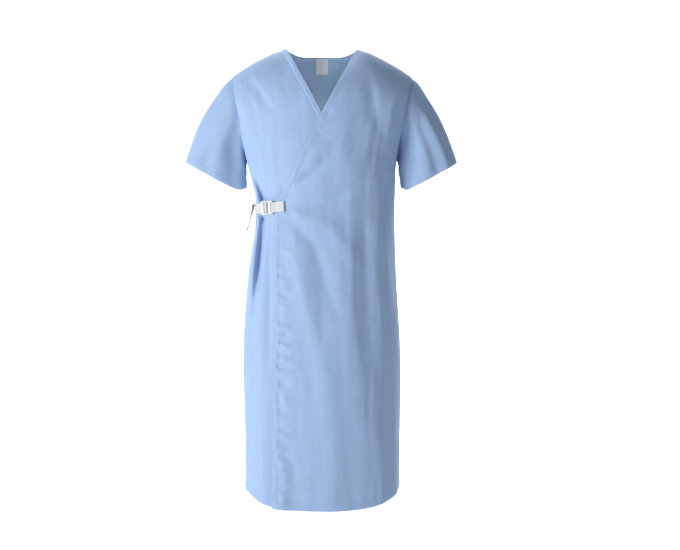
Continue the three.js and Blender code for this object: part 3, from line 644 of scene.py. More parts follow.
def front_angles(hand, offsets, count):
    """Columns of a front: at offsets from its free edge, then even ones, then fine ones at the seam."""

    def line(offset):
        return lambda z: -hand * (-wrap_edge(z) - offset * slant(z))

    edge = np.stack([angle_on(FRONT, ROWS, line(offset)) for offset in offsets], axis=1)
    seam = side_edge(FRONT, ROWS, hand)
    last = seam - hand * SEAM_FINE[0]
    share = np.linspace(0, 1, count + 2)[1:-1]
    even = edge[:, -1:] + (last[:, None] - edge[:, -1:]) * share
    fine = seam[:, None] - hand * SEAM_FINE
    return np.concatenate([edge, even, fine], axis=1)


# The valleys and rolls that run up and down from the strap, given as folds are.
VALLEYS = [
    ([(-0.160, -0.300), (-0.149, -0.350), (-0.142, -0.392), (-0.140, -0.440)], 0.0065, 0.015, 0.0075),
    ([(-0.139, -0.350), (-0.141, -0.392), (-0.149, -0.470), (-0.166, -0.660)], 0.0070, 0.017, 0.0090),
]
ROLLS = [
    ([(-0.171, -0.310), (-0.162, -0.350), (-0.156, -0.390), (-0.154, -0.430)], 0.0075, 0.014),
    ([(-0.153, -0.360), (-0.155, -0.400), (-0.162, -0.470), (-0.179, -0.620)], 0.0085, 0.016),
]


def gathered(x, z):
    """How far the strap's pull sets the cloth beside it back, less the roll pushed forward next to it."""
    valley, roll = (sum(crease(x, z, *fold) for fold in folds) for folds in (VALLEYS, ROLLS))
    near_strap = 1 - smooth(np.abs(z - WAIST), 0.012, 0.024)
    return (valley - roll) * (1 - near_strap)


def front_surface(hand, offsets, count, lift, seed):
    """The outer face of a front, its normals, and the distance of each point from its free edge."""
    angles = front_angles(hand, offsets, count)
    base = face(FRONT, angles, ROWS[:, None])
    normals = grid_normals(base, away_from_body(base))
    x, z = base[..., 0], base[..., 2]
    from_edge = (hand * x - wrap_edge(z)) / slant(z)
    from_hem = (drop_to(HEM) - ROWS[:, None]) * 0.001 + 0 * x
    from_seam = np.abs(side_edge(FRONT, ROWS, hand)[:, None] - angles) * DEGREE
    off = drape(FRONT, angles, x, z) + tucked(from_seam)
    off = off + hem_relief(from_hem, cloth_lengths(base)[0], seed)
    # The facing makes the edge two plies thick, as far as its stitching, which draws the cloth into puckers.
    off = off + 0.0005 * (1 - smooth(from_edge, FACING - 0.001, FACING + 0.0015))
    off = off - 0.0005 * hump(from_edge, FACING, 0.0013)
    off = off + tucked(from_edge, 0.0015, 0.0005)
    along = -z / slant(z)
    drawn = (0.45 + 0.55 * smooth(-z, 0.44, 0.60)) * (1 if hand > 0 else 0.2)  # the under front is kept flat
    off = off + drawn * rippled(from_edge, along, FACING - 0.002, 0.034, 0.0155, 0.0038, seed + 1)
    off = off + drawn * rippled(from_edge, along, FACING - 0.004, 0.020, 0.0085, 0.0022, seed + 3)
    off = off + rippled(from_edge, along, 0.001, FACING, 0.009, 0.0006, seed + 2)
    top = np.linalg.norm(base - base[:1], axis=-1)
    off = off + tucked(top, 0.003, 0.0008)
    surface = base + normals * (CLOTH_FACE + lift(angles) + off)[..., None]
    surface[..., 1] += gathered(x, z) * smooth(90 - np.abs(angles), 2, 14)
    return surface, normals, from_edge


OFFSETS = 0.001 * np.array([0, 1.2, 3, 6, 9, 12, 13.2, 14, 15, 18, 23, 25, 27, 32, 40, 50])
right_surface, right_normals, _ = front_surface(-1, OFFSETS, 104, lambda angles: 0, 31)
right_points = hemmed(right_surface, right_normals)
right_front = sheet_object("right_front_cloth", right_points, cloth_lengths(right_points), [cloth])
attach(right_front, "gown")
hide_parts("right_front_panel")

# ---- Left front --------------------------------------------------------------------------------------
# The front that laps over, from the left seam to the strap at the right waist. On the gown its free part
# below the strap can be turned back along a slanting line; here it is built as one fixed piece.

OVERLAY = CLOTH + EASE + FACING_THICK + GAP


def overlay(angles):
    """How far the left front stands off the form, to lie over the right one."""
    over_shoulder = smooth(ROWS[:, None], 45, 78)
    return OVERLAY * (1 - smooth(angles, 44, 66)) * over_shoulder


def corner_lift(points, from_edge):
    """The free edge's bottom corner hangs a little away from the front under it."""
    return 0.009 * (1 - smooth(from_edge, 0.0, 0.060)) * smooth(-points[..., 2], 0.93, 1.12)


left_surface, left_normals, left_from_edge = front_surface(1, OFFSETS, 98, overlay, 41)
left_surface = left_surface + left_normals * corner_lift(left_surface, left_from_edge)[..., None]
left_points = hemmed(left_surface, left_normals)
left_front = sheet_object("left_front_cloth", left_points, cloth_lengths(left_points), [cloth])


def blend_skirt(piece):
    """Bakes the piece's placement into its mesh; it is not made to turn with the skirt."""
    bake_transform(piece)


blend_skirt(left_front)
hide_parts("left_front_panel", "left_front_skirt")

# ---- Facings -----------------------------------------------------------------------------------------
# Strips of the same cloth, sewn to every neck and front edge, turned to the inside, pressed and topstitched.

FACING_COLUMNS = [0, 1, 2, 3, 4, 5, 6]  # the columns of a front that its facing lies under


def facing_strip(name, surface, normals, depth=0.0010):
    """A strip just inside a surface, as wide as the columns that it is given."""
    strip = surface - normals * depth
    return sheet_object(name, strip, cloth_lengths(strip), [cloth], thick=0.0004)


right_facing = facing_strip(
    "right_front_facing_cloth", right_surface[:, FACING_COLUMNS], right_normals[:, FACING_COLUMNS]
)
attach(right_facing, "gown")
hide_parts("right_front_facing")

left_facing = facing_strip(
    "left_front_facing_cloth", left_surface[:, FACING_COLUMNS], left_normals[:, FACING_COLUMNS]
)
blend_skirt(left_facing)
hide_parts("left_neck_facing", "left_skirt_facing")

# The back neck facing curves round between the neck points.
neck_angles = np.linspace(
    angle_on(BACK, np.array([SEAM_DROP]), lambda z: -NECK_HALF + 0 * z)[0],
    angle_on(BACK, np.array([SEAM_DROP]), lambda z: NECK_HALF + 0 * z)[0],
    61,
)
NECK_FACING_DROP = 9.0  # degrees over the shoulder, where the facing's lower edge is
neck_drops = np.linspace(SEAM_DROP, NECK_FACING_DROP, 7)[:, None]
neck_base = face(BACK, neck_angles[None, :] + 0 * neck_drops, back_start(neck_angles[None, :], neck_drops))
neck_normals = grid_normals(neck_base, away_from_body(neck_base))
neck_fold = drape(BACK, neck_angles[None, :] + 0 * neck_drops, neck_base[..., 0], neck_base[..., 2])
neck_top = np.linalg.norm(neck_base - neck_base[:1], axis=-1)
neck_fold = neck_fold + tucked(neck_top, 0.003, 0.0008)
neck_strip = neck_base + neck_normals * (CLOTH_FACE + neck_fold)[..., None]
neck_facing = facing_strip("back_neck_facing_cloth", neck_strip, neck_normals)
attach(neck_facing, "gown")
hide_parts("back_neck_facing")

# ---- Sleeves -----------------------------------------------------------------------------------------
# Short set-in sleeves of the same cloth, one piece each, closed by a seam under the arm. They hang out from
# the shoulders, and their cuffs are turned up twice and stitched.

SEAM_LAP = 0.0006  # the sleeve's edge goes this far under the body's
CUFF_TOP = np.array([SHOULDER_TIP + 0.116, ARMPIT - 0.016])
CUFF_FOOT = np.array([CHEST + 0.010, ARMPIT - 0.096])
CUFF_HALF_DEPTH = 0.050
CUFF_DEPTH = 0.018
SLEEVE_BULGE = 0.012
CUFF_STEPS = 0.001 * np.array([27, 23, 20.5, 19, 18, 16.5, 13, 9, 5, 2, 0])  # up from the cuff's edge

cap_spots = np.linspace(SEAM_DROP, 90, 22)[:-1]
side_spots = drop_to(CAP_FOOT + (ARMPIT - CAP_FOOT) * np.sin(np.linspace(0, np.pi / 2, 34)))
ring_drops = np.concatenate([cap_spots, side_spots])


def armhole_ring(hand):
    """The armhole's seam line, down the front and up the back, and each point's share of the way down."""
    down_front = face(FRONT, side_edge(FRONT, ring_drops, hand), ring_drops)
    up_back = face(BACK, side_edge(BACK, ring_drops, hand), ring_drops)[-2::-1]
    ring = np.concatenate([down_front, up_back])
    lean = np.array([hand * (TIP_HEIGHT - ARMPIT), 0, CHEST - SHOULDER_TIP])
    ring = ring - lean / np.linalg.norm(lean) * SEAM_LAP
    share = np.clip((TIP_HEIGHT - ring[:, 2]) / (TIP_HEIGHT - ARMPIT), 0, 1)
    return ring, share, np.sign(ring[:, 1] + np.where(np.arange(len(ring)) < len(ring_drops), -1e-6, 1e-6))


def sleeve_surface(hand, seed):
    """A sleeve from its armhole to its cuff, as rows of rings, with its normals and cuff distances."""
    ring, share, side = armhole_ring(hand)
    turn = 2 * share - 1
    foot = CUFF_TOP + (CUFF_FOOT - CUFF_TOP) * share[:, None]
    foot[:, 1] += 0.016 * smooth(share, 0.84, 1.0)
    foot[:, 0] -= (0.010 if hand < 0 else 0.003) * smooth(share, 0.5, 1.0)
    depth = side * CUFF_HALF_DEPTH * np.sqrt(np.maximum(0, 1 - turn**2))
    cuff = np.stack([hand * foot[:, 0], depth, foot[:, 1]], axis=-1)
    length = np.linalg.norm(cuff - ring, axis=-1)
    body = np.concatenate([[0.0, 0.006, 0.014], np.linspace(0.028, 0.985, 40)])
    run = np.concatenate([body[:, None] * (length - CUFF_STEPS[0]), length - CUFF_STEPS[:, None]])
    t = (run / length)[..., None]
    bulge = SLEEVE_BULGE * (1 - share) * np.sin(np.pi * t[..., 0])
    base = ring + (cuff - ring) * t + np.stack([hand * bulge, 0 * bulge, bulge / 2], axis=-1)
    normals = grid_normals(base, base - base.mean(axis=1, keepdims=True))
    across = np.linalg.norm(np.diff(base, axis=1, append=base[:, :1]), axis=-1).cumsum(axis=1)
    from_cuff = length - run
    round_ = np.linspace(0, 2 * np.pi, len(ring), endpoint=False)[None, :]
    soft = smooth(run, 0.0, 0.05)
    off = 0.0022 * soft * np.cos(2 * round_ + 1.3 * hand + 9 * run)
    off = off + 0.0016 * soft * np.cos(5 * round_ + 0.7 - 14 * run)
    off = off + 0.0014 * wrinkle_noise(round_ * 3 + 5, run * 22 + 3, seed) * np.sin(round_ / 2)
    ridge = hump(share, 0.20, 0.055) - hump(share, 0.36, 0.07)
    off = off + (0.0042 if hand > 0 else 0.0012) * ridge * (side < 0) * smooth(run, 0.02, 0.08)
    front = hump(share, 0.62, 0.16) * (side < 0)
    off = off - 0.0045 * front * (1 - smooth(run, 0.05, 0.13)) * smooth(run, 0.0, 0.02)
    under = hump(share, 0.93, 0.10)
    off = off + 0.0040 * under * np.sin(run / 0.017 + 2.0 * side) * (1 - smooth(run, 0.03, 0.075))
    off = off + tucked(run, 0.004, 0.0012)
    off = off + rippled(run, across, 0.003, 0.014, 0.012, 0.0007, seed + 1)
    off = off + 0.0005 * (1 - smooth(from_cuff, CUFF_DEPTH - 0.0005, CUFF_DEPTH + 0.0015))
    off = off - 0.0004 * hump(from_cuff, CUFF_DEPTH, 0.0013)
    off = off + rippled(from_cuff, across, 0.004, 0.023, 0.013, 0.0008, seed + 2)
    # The cap is a little full where it is eased into the armhole.
    off = off + 0.003 * (1 - share) * smooth(run, 0.002, 0.02) * (1 - smooth(run, 0.02, 0.07))
    return base + normals * (CLOTH_FACE + off)[..., None], normals


def blend_sleeve(piece):
    """Bakes the piece's placement into its mesh; it is not made to move with the sleeve."""
    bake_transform(piece)


# The row of rings that the cuff's stitching is on.
CUFF_ROW = int(np.argmin(np.abs(CUFF_STEPS - CUFF_DEPTH))) - len(CUFF_STEPS)
cuff_lines = {}
for side_name, hand, seed in (("right", -1, 51), ("left", 1, 61)):
    surface, normals = sleeve_surface(hand, seed)
    cuff_line = surface[CUFF_ROW] + normals[CUFF_ROW] * 0.0001
    cuff_lines[side_name] = np.concatenate([cuff_line, cuff_line[:1]])
    inner = surface[-2:-8:-1] - normals[-2:-8:-1] * 0.0012
    points = np.concatenate([surface, inner])
    if hand > 0:  # so that the faces point outwards
        points = points[:, ::-1]
    across, down = cloth_lengths(points)
    sleeve = sheet_object(f"{side_name}_sleeve_cloth", points, (across, down), [cloth], round_=True)
    blend_sleeve(sleeve)
    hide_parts(f"{side_name}_sleeve")

# ---- Neck label --------------------------------------------------------------------------------------
# A small white satin label with nothing on it. Its top edge is sewn to the back neck facing, and the rest
# hangs free.

LABEL_WIDTH = 0.030
label_low, label_high = (Vector(corner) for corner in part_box("neck_label"))


def label_material():
    """Fine satin: ribs across it, and a slight sheen."""
    material, shader, nodes = new_material("label_satin")
    uv = nodes.add("ShaderNodeUVMap", {"uv_map": "cloth"})
    grain = nodes.add("ShaderNodeMapping", None, uv, Scale=(300.0, 2400.0, 1.0))
    ribs = nodes.add("ShaderNodeTexNoise", None, Vector=grain, Scale=1.0, Detail=1.0)
    pale, grey = (0.56, 0.57, 0.60, 1), (0.46, 0.48, 0.52, 1)
    nodes.feed(shader, "Base Color", mix_colour(nodes, ribs, grey, pale))
    nodes.feed(shader, "Roughness", ribs * 0.15 + 0.38)
    bump = nodes.add("ShaderNodeBump", None, Strength=0.3, Distance=0.0001, Height=ribs)
    nodes.feed(shader, "Normal", bump)
    return material


label_rows = np.linspace(0, 1, 22)
label_columns = np.linspace(-0.5, 0.5, 15)
label_x = label_columns[None, :] * LABEL_WIDTH + 0 * label_rows[:, None]
label_z = label_high.z + (label_low.z - label_high.z) * label_rows[:, None] + 0 * label_x
curl = 0.0022 * label_rows[:, None] ** 2 + 0.0010 * np.cos(5 * label_columns[None, :]) * label_rows[:, None]
label_y = label_high.y - 0.0001 - curl
label_points = np.stack([label_x, label_y, label_z], axis=-1)
label = sheet_object(
    "neck_label_satin", label_points, cloth_lengths(label_points), [label_material()], thick=0.0003
)
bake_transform(label)
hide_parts("neck_label")

# ---- Ladder lock -------------------------------------------------------------------------------------
# A white moulded nylon buckle with a round end bar for the tab, two slots for the strap and a lip at the
# other end, which is lifted to let the strap slip. Its edges are rounded and its lip has grip ridges.

WEBBING = 0.025
WEBBING_THICK = 0.0012
STRAP_SLACK = 0.0002
STRAP_EASE = 0.0008
TAB_SEAT = 0.0013
TAB_EASE = 0.0011
TAB_REACH = 0.026
TAB_TURN = 0.009  # from the front edge to where the tab rises to the lock
LOCK_THICK = 0.003
LOCK_LEAN = np.radians(4)
END_BAR = 0.0035
TAB_SLOT = WEBBING_THICK + 0.0029
BRIDGE = 0.0074
STRAP_SLOT = WEBBING_THICK + 0.0038
MIDDLE_BAR = 0.0035
GRIP = 0.0075
RAIL = 0.0035
SLOT_PLAY = 0.001
RIDGE_PITCH = 0.0019
LAYER = WEBBING_THICK + GAP + STRAP_SLACK
HALF = WEBBING_THICK / 2
UP_SLOT = END_BAR + TAB_SLOT + BRIDGE
DOWN_SLOT = UP_SLOT + STRAP_SLOT + MIDDLE_BAR
LOCK_LENGTH = DOWN_SLOT + STRAP_SLOT + GRIP
LOCK_STAND = OVERLAY + GAP + WEBBING_THICK + TAB_EASE


def outward(angle, drop):
    """The outward direction of the front's form."""
    wide = face(FRONT, angle + 0.4, drop) - face(FRONT, angle - 0.4, drop)
    tall = face(FRONT, angle, drop + 0.4) - face(FRONT, angle, drop - 0.4)
    normal = -np.cross(wide, tall)
    return normal / np.linalg.norm(normal)


def lifted(angle, drop, lift):
    return face(FRONT, angle, drop) + outward(angle, drop) * lift


waist_drop = drop_to(WAIST)


def waist_angle(across):
    """The angle round the body of a place on the front at the waist, by how far across it is."""
    return float(angle_on(FRONT, np.array([waist_drop]), lambda z: across + 0 * z)[0])


# The fastening's own axes: along the strap from the lock's front end, out from the cloth, and across.
lock_angle = waist_angle(-FRONT_EDGE - 0.32 * LOCK_LENGTH)
lock_out = outward(lock_angle, waist_drop) * np.array([1, 1, 0])
lock_out /= np.linalg.norm(lock_out)
level = np.array([lock_out[1], -lock_out[0], 0])
up = np.array([0, 0, 1])
lock_along = np.cos(LOCK_LEAN) * level - np.sin(LOCK_LEAN) * up
lock_across = np.cos(LOCK_LEAN) * up + np.sin(LOCK_LEAN) * level
lock_origin = lifted(lock_angle, waist_drop, CLOTH + LOCK_STAND) - lock_along * LOCK_LENGTH / 2
FASTENING = np.stack([lock_along, lock_out, lock_across])


def fastened(along, out, across=0.0):
    """A point given on the fastening's own axes."""
    return lock_origin + np.array([along, out, across]) @ FASTENING


def moulded_material():
    """White nylon with a faintly mottled, satin surface."""
    material, shader, nodes = new_material("white_nylon")
    place = nodes.add("ShaderNodeTexCoord", output=3)
    mottle = nodes.add("ShaderNodeTexNoise", None, Vector=place, Scale=260.0, Detail=3.0)
    grain = nodes.add("ShaderNodeTexNoise", None, Vector=place, Scale=2600.0, Detail=2.0)
    white, cream = (0.72, 0.72, 0.71, 1), (0.66, 0.66, 0.64, 1)
    nodes.feed(shader, "Base Color", mix_colour(nodes, mottle, cream, white))
    nodes.feed(shader, "Roughness", mottle * 0.12 + 0.30)
    bump = nodes.add("ShaderNodeBump", None, Strength=0.15, Distance=0.0001, Height=grain)
    nodes.feed(shader, "Normal", bump)
    return material


nylon = moulded_material()


def rounded_box(mesh, low, high, radius):
    """A bar with rounded edges, added to a bmesh, between two corners on the fastening's axes."""
    made = bmesh.ops.create_cube(mesh, size=1)["verts"]
    size = np.array(high) - np.array(low)
    middle = (np.array(high) + np.array(low)) / 2
    for vert in made:
        vert.co = Vector(middle + np.array(vert.co) * size)
    edges = list({edge for vert in made for edge in vert.link_edges})
    bmesh.ops.bevel(mesh, geom=edges, offset=radius, segments=3, profile=0.5, affect="EDGES")


def lock_moulding():
    """The lock as one mesh: two rails, the bars between them, the bridge, the lip and its ridges."""
    slot = (WEBBING + SLOT_PLAY) / 2
    wide = slot + RAIL
    thick = LOCK_THICK
    bars = [
        ((END_BAR + TAB_SLOT - 0.0013, 0, -slot - 0.001), (UP_SLOT, thick, slot + 0.001), 0.0006),
        ((UP_SLOT + STRAP_SLOT, 0, -slot - 0.001), (DOWN_SLOT, thick, slot + 0.001), 0.0009),
        ((DOWN_SLOT + STRAP_SLOT, 0, -slot - 0.001), (LOCK_LENGTH, thick, slot + 0.001), 0.0009),
    ]
    rails = [
        ((0, 0, -wide), (LOCK_LENGTH, thick, -slot), 0.0010),
        ((0, 0, slot), (LOCK_LENGTH, thick, wide), 0.0010),
    ]
    ridge_low = np.array([LOCK_LENGTH - 0.0058, thick - 0.0006, -slot + 0.002])
    ridge_high = np.array([LOCK_LENGTH - 0.0048, thick + 0.0002, slot - 0.002])
    steps = [np.array([RIDGE_PITCH * i, 0, 0]) for i in range(3)]
    ridges = [(ridge_low + step, ridge_high + step, 0.0003) for step in steps]
    mesh = bmesh.new()
    for low, high, radius in bars + rails + ridges:
        rounded_box(mesh, low, high, radius)
    end_bar = {"radius1": thick / 2, "radius2": thick / 2, "depth": 2 * slot + 0.002}
    bar_place = Matrix.Translation((END_BAR / 2, thick / 2, 0))
    bmesh.ops.create_cone(mesh, cap_ends=True, segments=28, matrix=bar_place, **end_bar)
    frame_matrix = Matrix(FASTENING.T.tolist()).to_4x4()
    frame_matrix.translation = Vector(lock_origin)
    mesh.transform(frame_matrix)
    bmesh.ops.recalc_face_normals(mesh, faces=mesh.faces)
    data = bpy.data.meshes.new("ladder_lock_moulding")
    mesh.to_mesh(data)
    mesh.free()
    data.materials.append(nylon)
    data.shade_smooth()
    data.set_sharp_from_angle(angle=np.radians(40))
    return data


ladder_lock = bpy.data.objects.new("ladder_lock_moulding", lock_moulding())
bpy.context.scene.collection.objects.link(ladder_lock)
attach(ladder_lock, "lock")
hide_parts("ladder_lock")

# ---- Tab and strap -----------------------------------------------------------------------------------
# White polyester webbing, 25 mm wide. The tab is a short loop round the lock's bar, sewn to the left front.
# The strap comes from the right side seam, through the lock, and back over itself, and its end hangs down.

STRAP_SEAM = -88
TAIL_LENGTH = 0.066
TAIL_TWIST = np.radians(-12)


def webbing_material():
    """Narrow herringbone webbing: fine ribs along it, crossed by closer ones, painted shade in the grooves
    between them, and firm edges.
    """
    material, shader, nodes = new_material("white_webbing")
    uv = nodes.add("ShaderNodeUVMap", {"uv_map": "cloth"})
    u, v = (nodes.add("ShaderNodeSeparateXYZ", None, uv, output=axis) for axis in (0, 1))
    chevron = ((u * 500.0).math("PINGPONG", 1.0) * 1.6 + v * 2600.0).math("SINE") * 0.5 + 0.5
    cords = (u * 3600.0).math("SINE") * 0.5 + 0.5
    weave = chevron * 0.65 + cords * 0.35
    # The grooves of the weave take the darker colour: painted shade between the ribs.
    white, shade = (0.69, 0.69, 0.68, 1), (0.49, 0.50, 0.51, 1)
    nodes.feed(shader, "Base Color", mix_colour(nodes, weave, shade, white))
    nodes.feed(shader, "Roughness", weave * 0.1 + 0.72)
    bump = nodes.add("ShaderNodeBump", None, Strength=0.6, Distance=0.0002, Height=weave)
    nodes.feed(shader, "Normal", bump)
    shader.inputs["Sheen Weight"].default_value = 0.1
    return material


webbing = webbing_material()


def softened(path, times=3):
    """A path with its corners cut, as a bent band has."""
    path = np.array(path, float)
    for _ in range(times):
        near = path[:-1] * 0.75 + path[1:] * 0.25
        far = path[:-1] * 0.25 + path[1:] * 0.75
        path = np.concatenate([path[:1], np.stack([near, far], axis=1).reshape(-1, path.shape[1]), path[-1:]])
    return path


def even_path(path, step):
    """The same path with even steps."""
    lengths = np.concatenate([[0], np.cumsum(np.linalg.norm(np.diff(path, axis=0), axis=1))])
    at = np.linspace(0, lengths[-1], max(2, int(lengths[-1] / step)))
    return np.stack([np.interp(at, lengths, path[:, k]) for k in range(path.shape[1])], axis=1)


def webbing_band(name, middle, across, thick=WEBBING_THICK * 0.9):
    """A band of webbing along a middle line, as wide as the across direction times its width."""
    span = np.linspace(-0.5, 0.5, 13)
    span = np.concatenate([[-0.5, -0.485], span[1:-1], [0.485, 0.5]])
    across = np.broadcast_to(np.array(across), middle.shape)
    points = middle[:, None, :] + span[None, :, None] * WEBBING * across[:, None, :]
    band = sheet_object(name, points, cloth_lengths(points), [webbing], thick=thick)
    band.modifiers["thickness"].offset = 0
    bevel = band.modifiers.new("soft_edges", "BEVEL")
    bevel.width = 0.0003
    bevel.segments = 2
    bevel.limit_method = "ANGLE"
    bevel.angle_limit = np.radians(50)
    return band


def on_cloth(angle, lift):
    """Where the fastening's middle plane meets the cloth at an angle round the body, as [along, out]."""
    drop = waist_drop
    for _ in range(6):
        along, out, across = FASTENING @ (lifted(angle, drop, lift) - lock_origin)
        drop += across * 1000
    return [along, out]


def along_fastening(path, step=0.0008):
    flat = even_path(softened(path), step)
    return np.array([fastened(*point) for point in flat])


tab_end, tab_turn = waist_angle(TAB_REACH - FRONT_EDGE), waist_angle(TAB_TURN - FRONT_EDGE)
tab_lift = OVERLAY + CLOTH + TAB_SEAT + HALF
bar_loop = LOCK_THICK / 2 + GAP + HALF
round_bar = [
    [END_BAR / 2 + bar_loop * np.cos(turn), LOCK_THICK / 2 + bar_loop * np.sin(turn)]
    for turn in np.radians([90, 60, 30, 0, -30, -60, -90])
]
tab_path = [
    on_cloth(tab_end + 0.6, tab_lift + LAYER),
    on_cloth((tab_end + tab_turn) / 2, tab_lift + LAYER),
    on_cloth(tab_turn, tab_lift + LAYER),
    *round_bar,
    on_cloth(tab_turn, tab_lift),
    on_cloth((tab_end + tab_turn) / 2, tab_lift),
    on_cloth(tab_end, tab_lift),
]
tab_middle = along_fastening(tab_path)
front_tab = webbing_band("front_tab_webbing", tab_middle, lock_across)
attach(front_tab, "gown")
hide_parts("front_tab")

fullest = max(float(form("right", WAIST + sign * WEBBING / 2) - form("right", WAIST)) for sign in (-1, 1))
strap_lift = CLOTH + STRAP_EASE + fullest + HALF
under, above = -GAP - HALF, LOCK_THICK + GAP + HALF
rise = UP_SLOT + STRAP_SLOT - GAP - HALF - STRAP_SLACK
dive = DOWN_SLOT + GAP + HALF + STRAP_SLACK
SIDE_ANGLES = [-70, -76, -82]
BEND = 0.0008  # how far from a corner the strap starts to turn
STRAIGHT = 0.004
strap_path = [
    *[on_cloth(angle, strap_lift) for angle in [STRAP_SEAM, *SIDE_ANGLES[::-1]]],
    [LOCK_LENGTH + STRAIGHT, under - LAYER],
    [rise + STRAIGHT, under - LAYER],
    [rise + BEND, under - LAYER + BEND / 2],
    [rise, under + BEND],
    [rise, above - BEND],
    [rise + BEND, above],
    [dive - BEND, above],
    [dive, above - BEND],
    [dive, under + BEND],
    [dive + BEND, under],
    [LOCK_LENGTH + STRAIGHT, under],
    *[on_cloth(angle, strap_lift + LAYER) for angle in SIDE_ANGLES],
]
strap = webbing_band("waist_strap_webbing", along_fastening(strap_path), lock_across)
STRAP_STILL, STRAP_LIFTED = 0.084, 0.042  # along from the lock's front end
tuple(fastened(STRAP_STILL, 0))
tuple(fastened(STRAP_LIFTED, 0))
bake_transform(strap)
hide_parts("side_strap", "strap_turn", "strap_return")

# The hanging end is folded down over the returning run, and its tip is folded back and sewn.
tail_top = fastened(*on_cloth(SIDE_ANGLES[-1], strap_lift + LAYER))
tail_out = LAYER + GAP + WEBBING / 2 * abs(np.sin(TAIL_TWIST))
tail_path = [
    [0.0015, -0.0042],
    [-0.0012, -0.0022],
    [-0.0008, 0.0000],
    [WEBBING / 2, 0.0012],
    [WEBBING, 0.0050],
    [TAIL_LENGTH * 0.7, 0.0098],
    [TAIL_LENGTH, 0.0152],
    [TAIL_LENGTH + 0.0004, 0.0164],
    [TAIL_LENGTH - 0.0008, 0.0166],
    [TAIL_LENGTH * 0.84, 0.0140],
]
tail_flat = even_path(softened(tail_path), 0.0012)
cos_twist, sin_twist = np.cos(TAIL_TWIST), np.sin(TAIL_TWIST)
tail_away = np.array([-cos_twist, -sin_twist, 0])
tail_origin = tail_top + np.array([-tail_out, 0, WEBBING / 2])
tail_middle = np.array([tail_origin + out * tail_away + np.array([0, 0, -down]) for down, out in tail_flat])
tail_turn = TAIL_TWIST + np.radians(10) * smooth(np.linspace(0, 1, len(tail_middle)), 0.10, 0.6)
tail_hands = np.stack([-np.sin(tail_turn), np.cos(tail_turn), 0 * tail_turn], axis=1)
tail = webbing_band("strap_tail_webbing", tail_middle, tail_hands)
tuple(tail_origin - np.array([0, 0, 0.020]))
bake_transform(tail)
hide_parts("strap_tail")

# ---- Inner tab and snap ------------------------------------------------------------------------------
# A tab of the gown's cloth from the left side seam, with a plastic snap that holds the under front's edge.

INNER_TAB_WIDTH = 0.024
INNER_TAB_PAST = 3.7  # degrees from the snap to the tab's end
INNER_TAB_ROOT = 84  # degrees round the body, by the side seam
ROOT_DEPTH, SNAP_DEPTH = 0.0018, 0.00635  # how far inside the form its two ends lie
snap_angle = waist_angle(SNAP_ACROSS)
inner_share = np.linspace(0, 1, 40)
inner_angles = INNER_TAB_ROOT + (snap_angle - INNER_TAB_PAST - INNER_TAB_ROOT) * inner_share
inner_depths = ROOT_DEPTH + (SNAP_DEPTH - ROOT_DEPTH) * smooth(inner_share, 0, 0.6)
inner_columns = np.linspace(-0.5, 0.5, 9)
inner_points = np.array(
    [
        [lifted(angle, waist_drop + 1000 * INNER_TAB_WIDTH * k, -depth) for k in inner_columns]
        for angle, depth in zip(inner_angles, inner_depths)
    ]
)[::-1]
inner_tab = sheet_object("inner_tab_cloth", inner_points, cloth_lengths(inner_points), [cloth], thick=0.0009)
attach(inner_tab, "gown")
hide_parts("inner_tab")
for node in ("inner_snap_cap", "inner_snap_stud", "inner_snap_socket", "inner_snap_button"):
    for material_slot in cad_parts[node].material_slots:
        material_slot.material = nylon

# ---- Stitching ---------------------------------------------------------------------------------------
# Polyester thread, a shade lighter than the cloth: lockstitches along the facings, hems, cuffs, armholes and
# shoulders, and white ones that hold the tab and the label.


def thread_material(name, colour):
    material, shader, nodes = new_material(name)
    place = nodes.add("ShaderNodeTexCoord", output=3)
    ply = nodes.add("ShaderNodeTexNoise", None, Vector=place, Scale=3000.0, Detail=1.0)
    dark = tuple(c * 0.88 for c in colour) + (1,)
    nodes.feed(shader, "Base Color", mix_colour(nodes, ply, dark, (*colour, 1)))
    nodes.feed(shader, "Roughness", ply * 0.1 + 0.5)
    return material


blue_thread = thread_material("blue_thread", (0.40, 0.56, 0.84))
white_thread = thread_material("white_thread", (0.82, 0.82, 0.82))


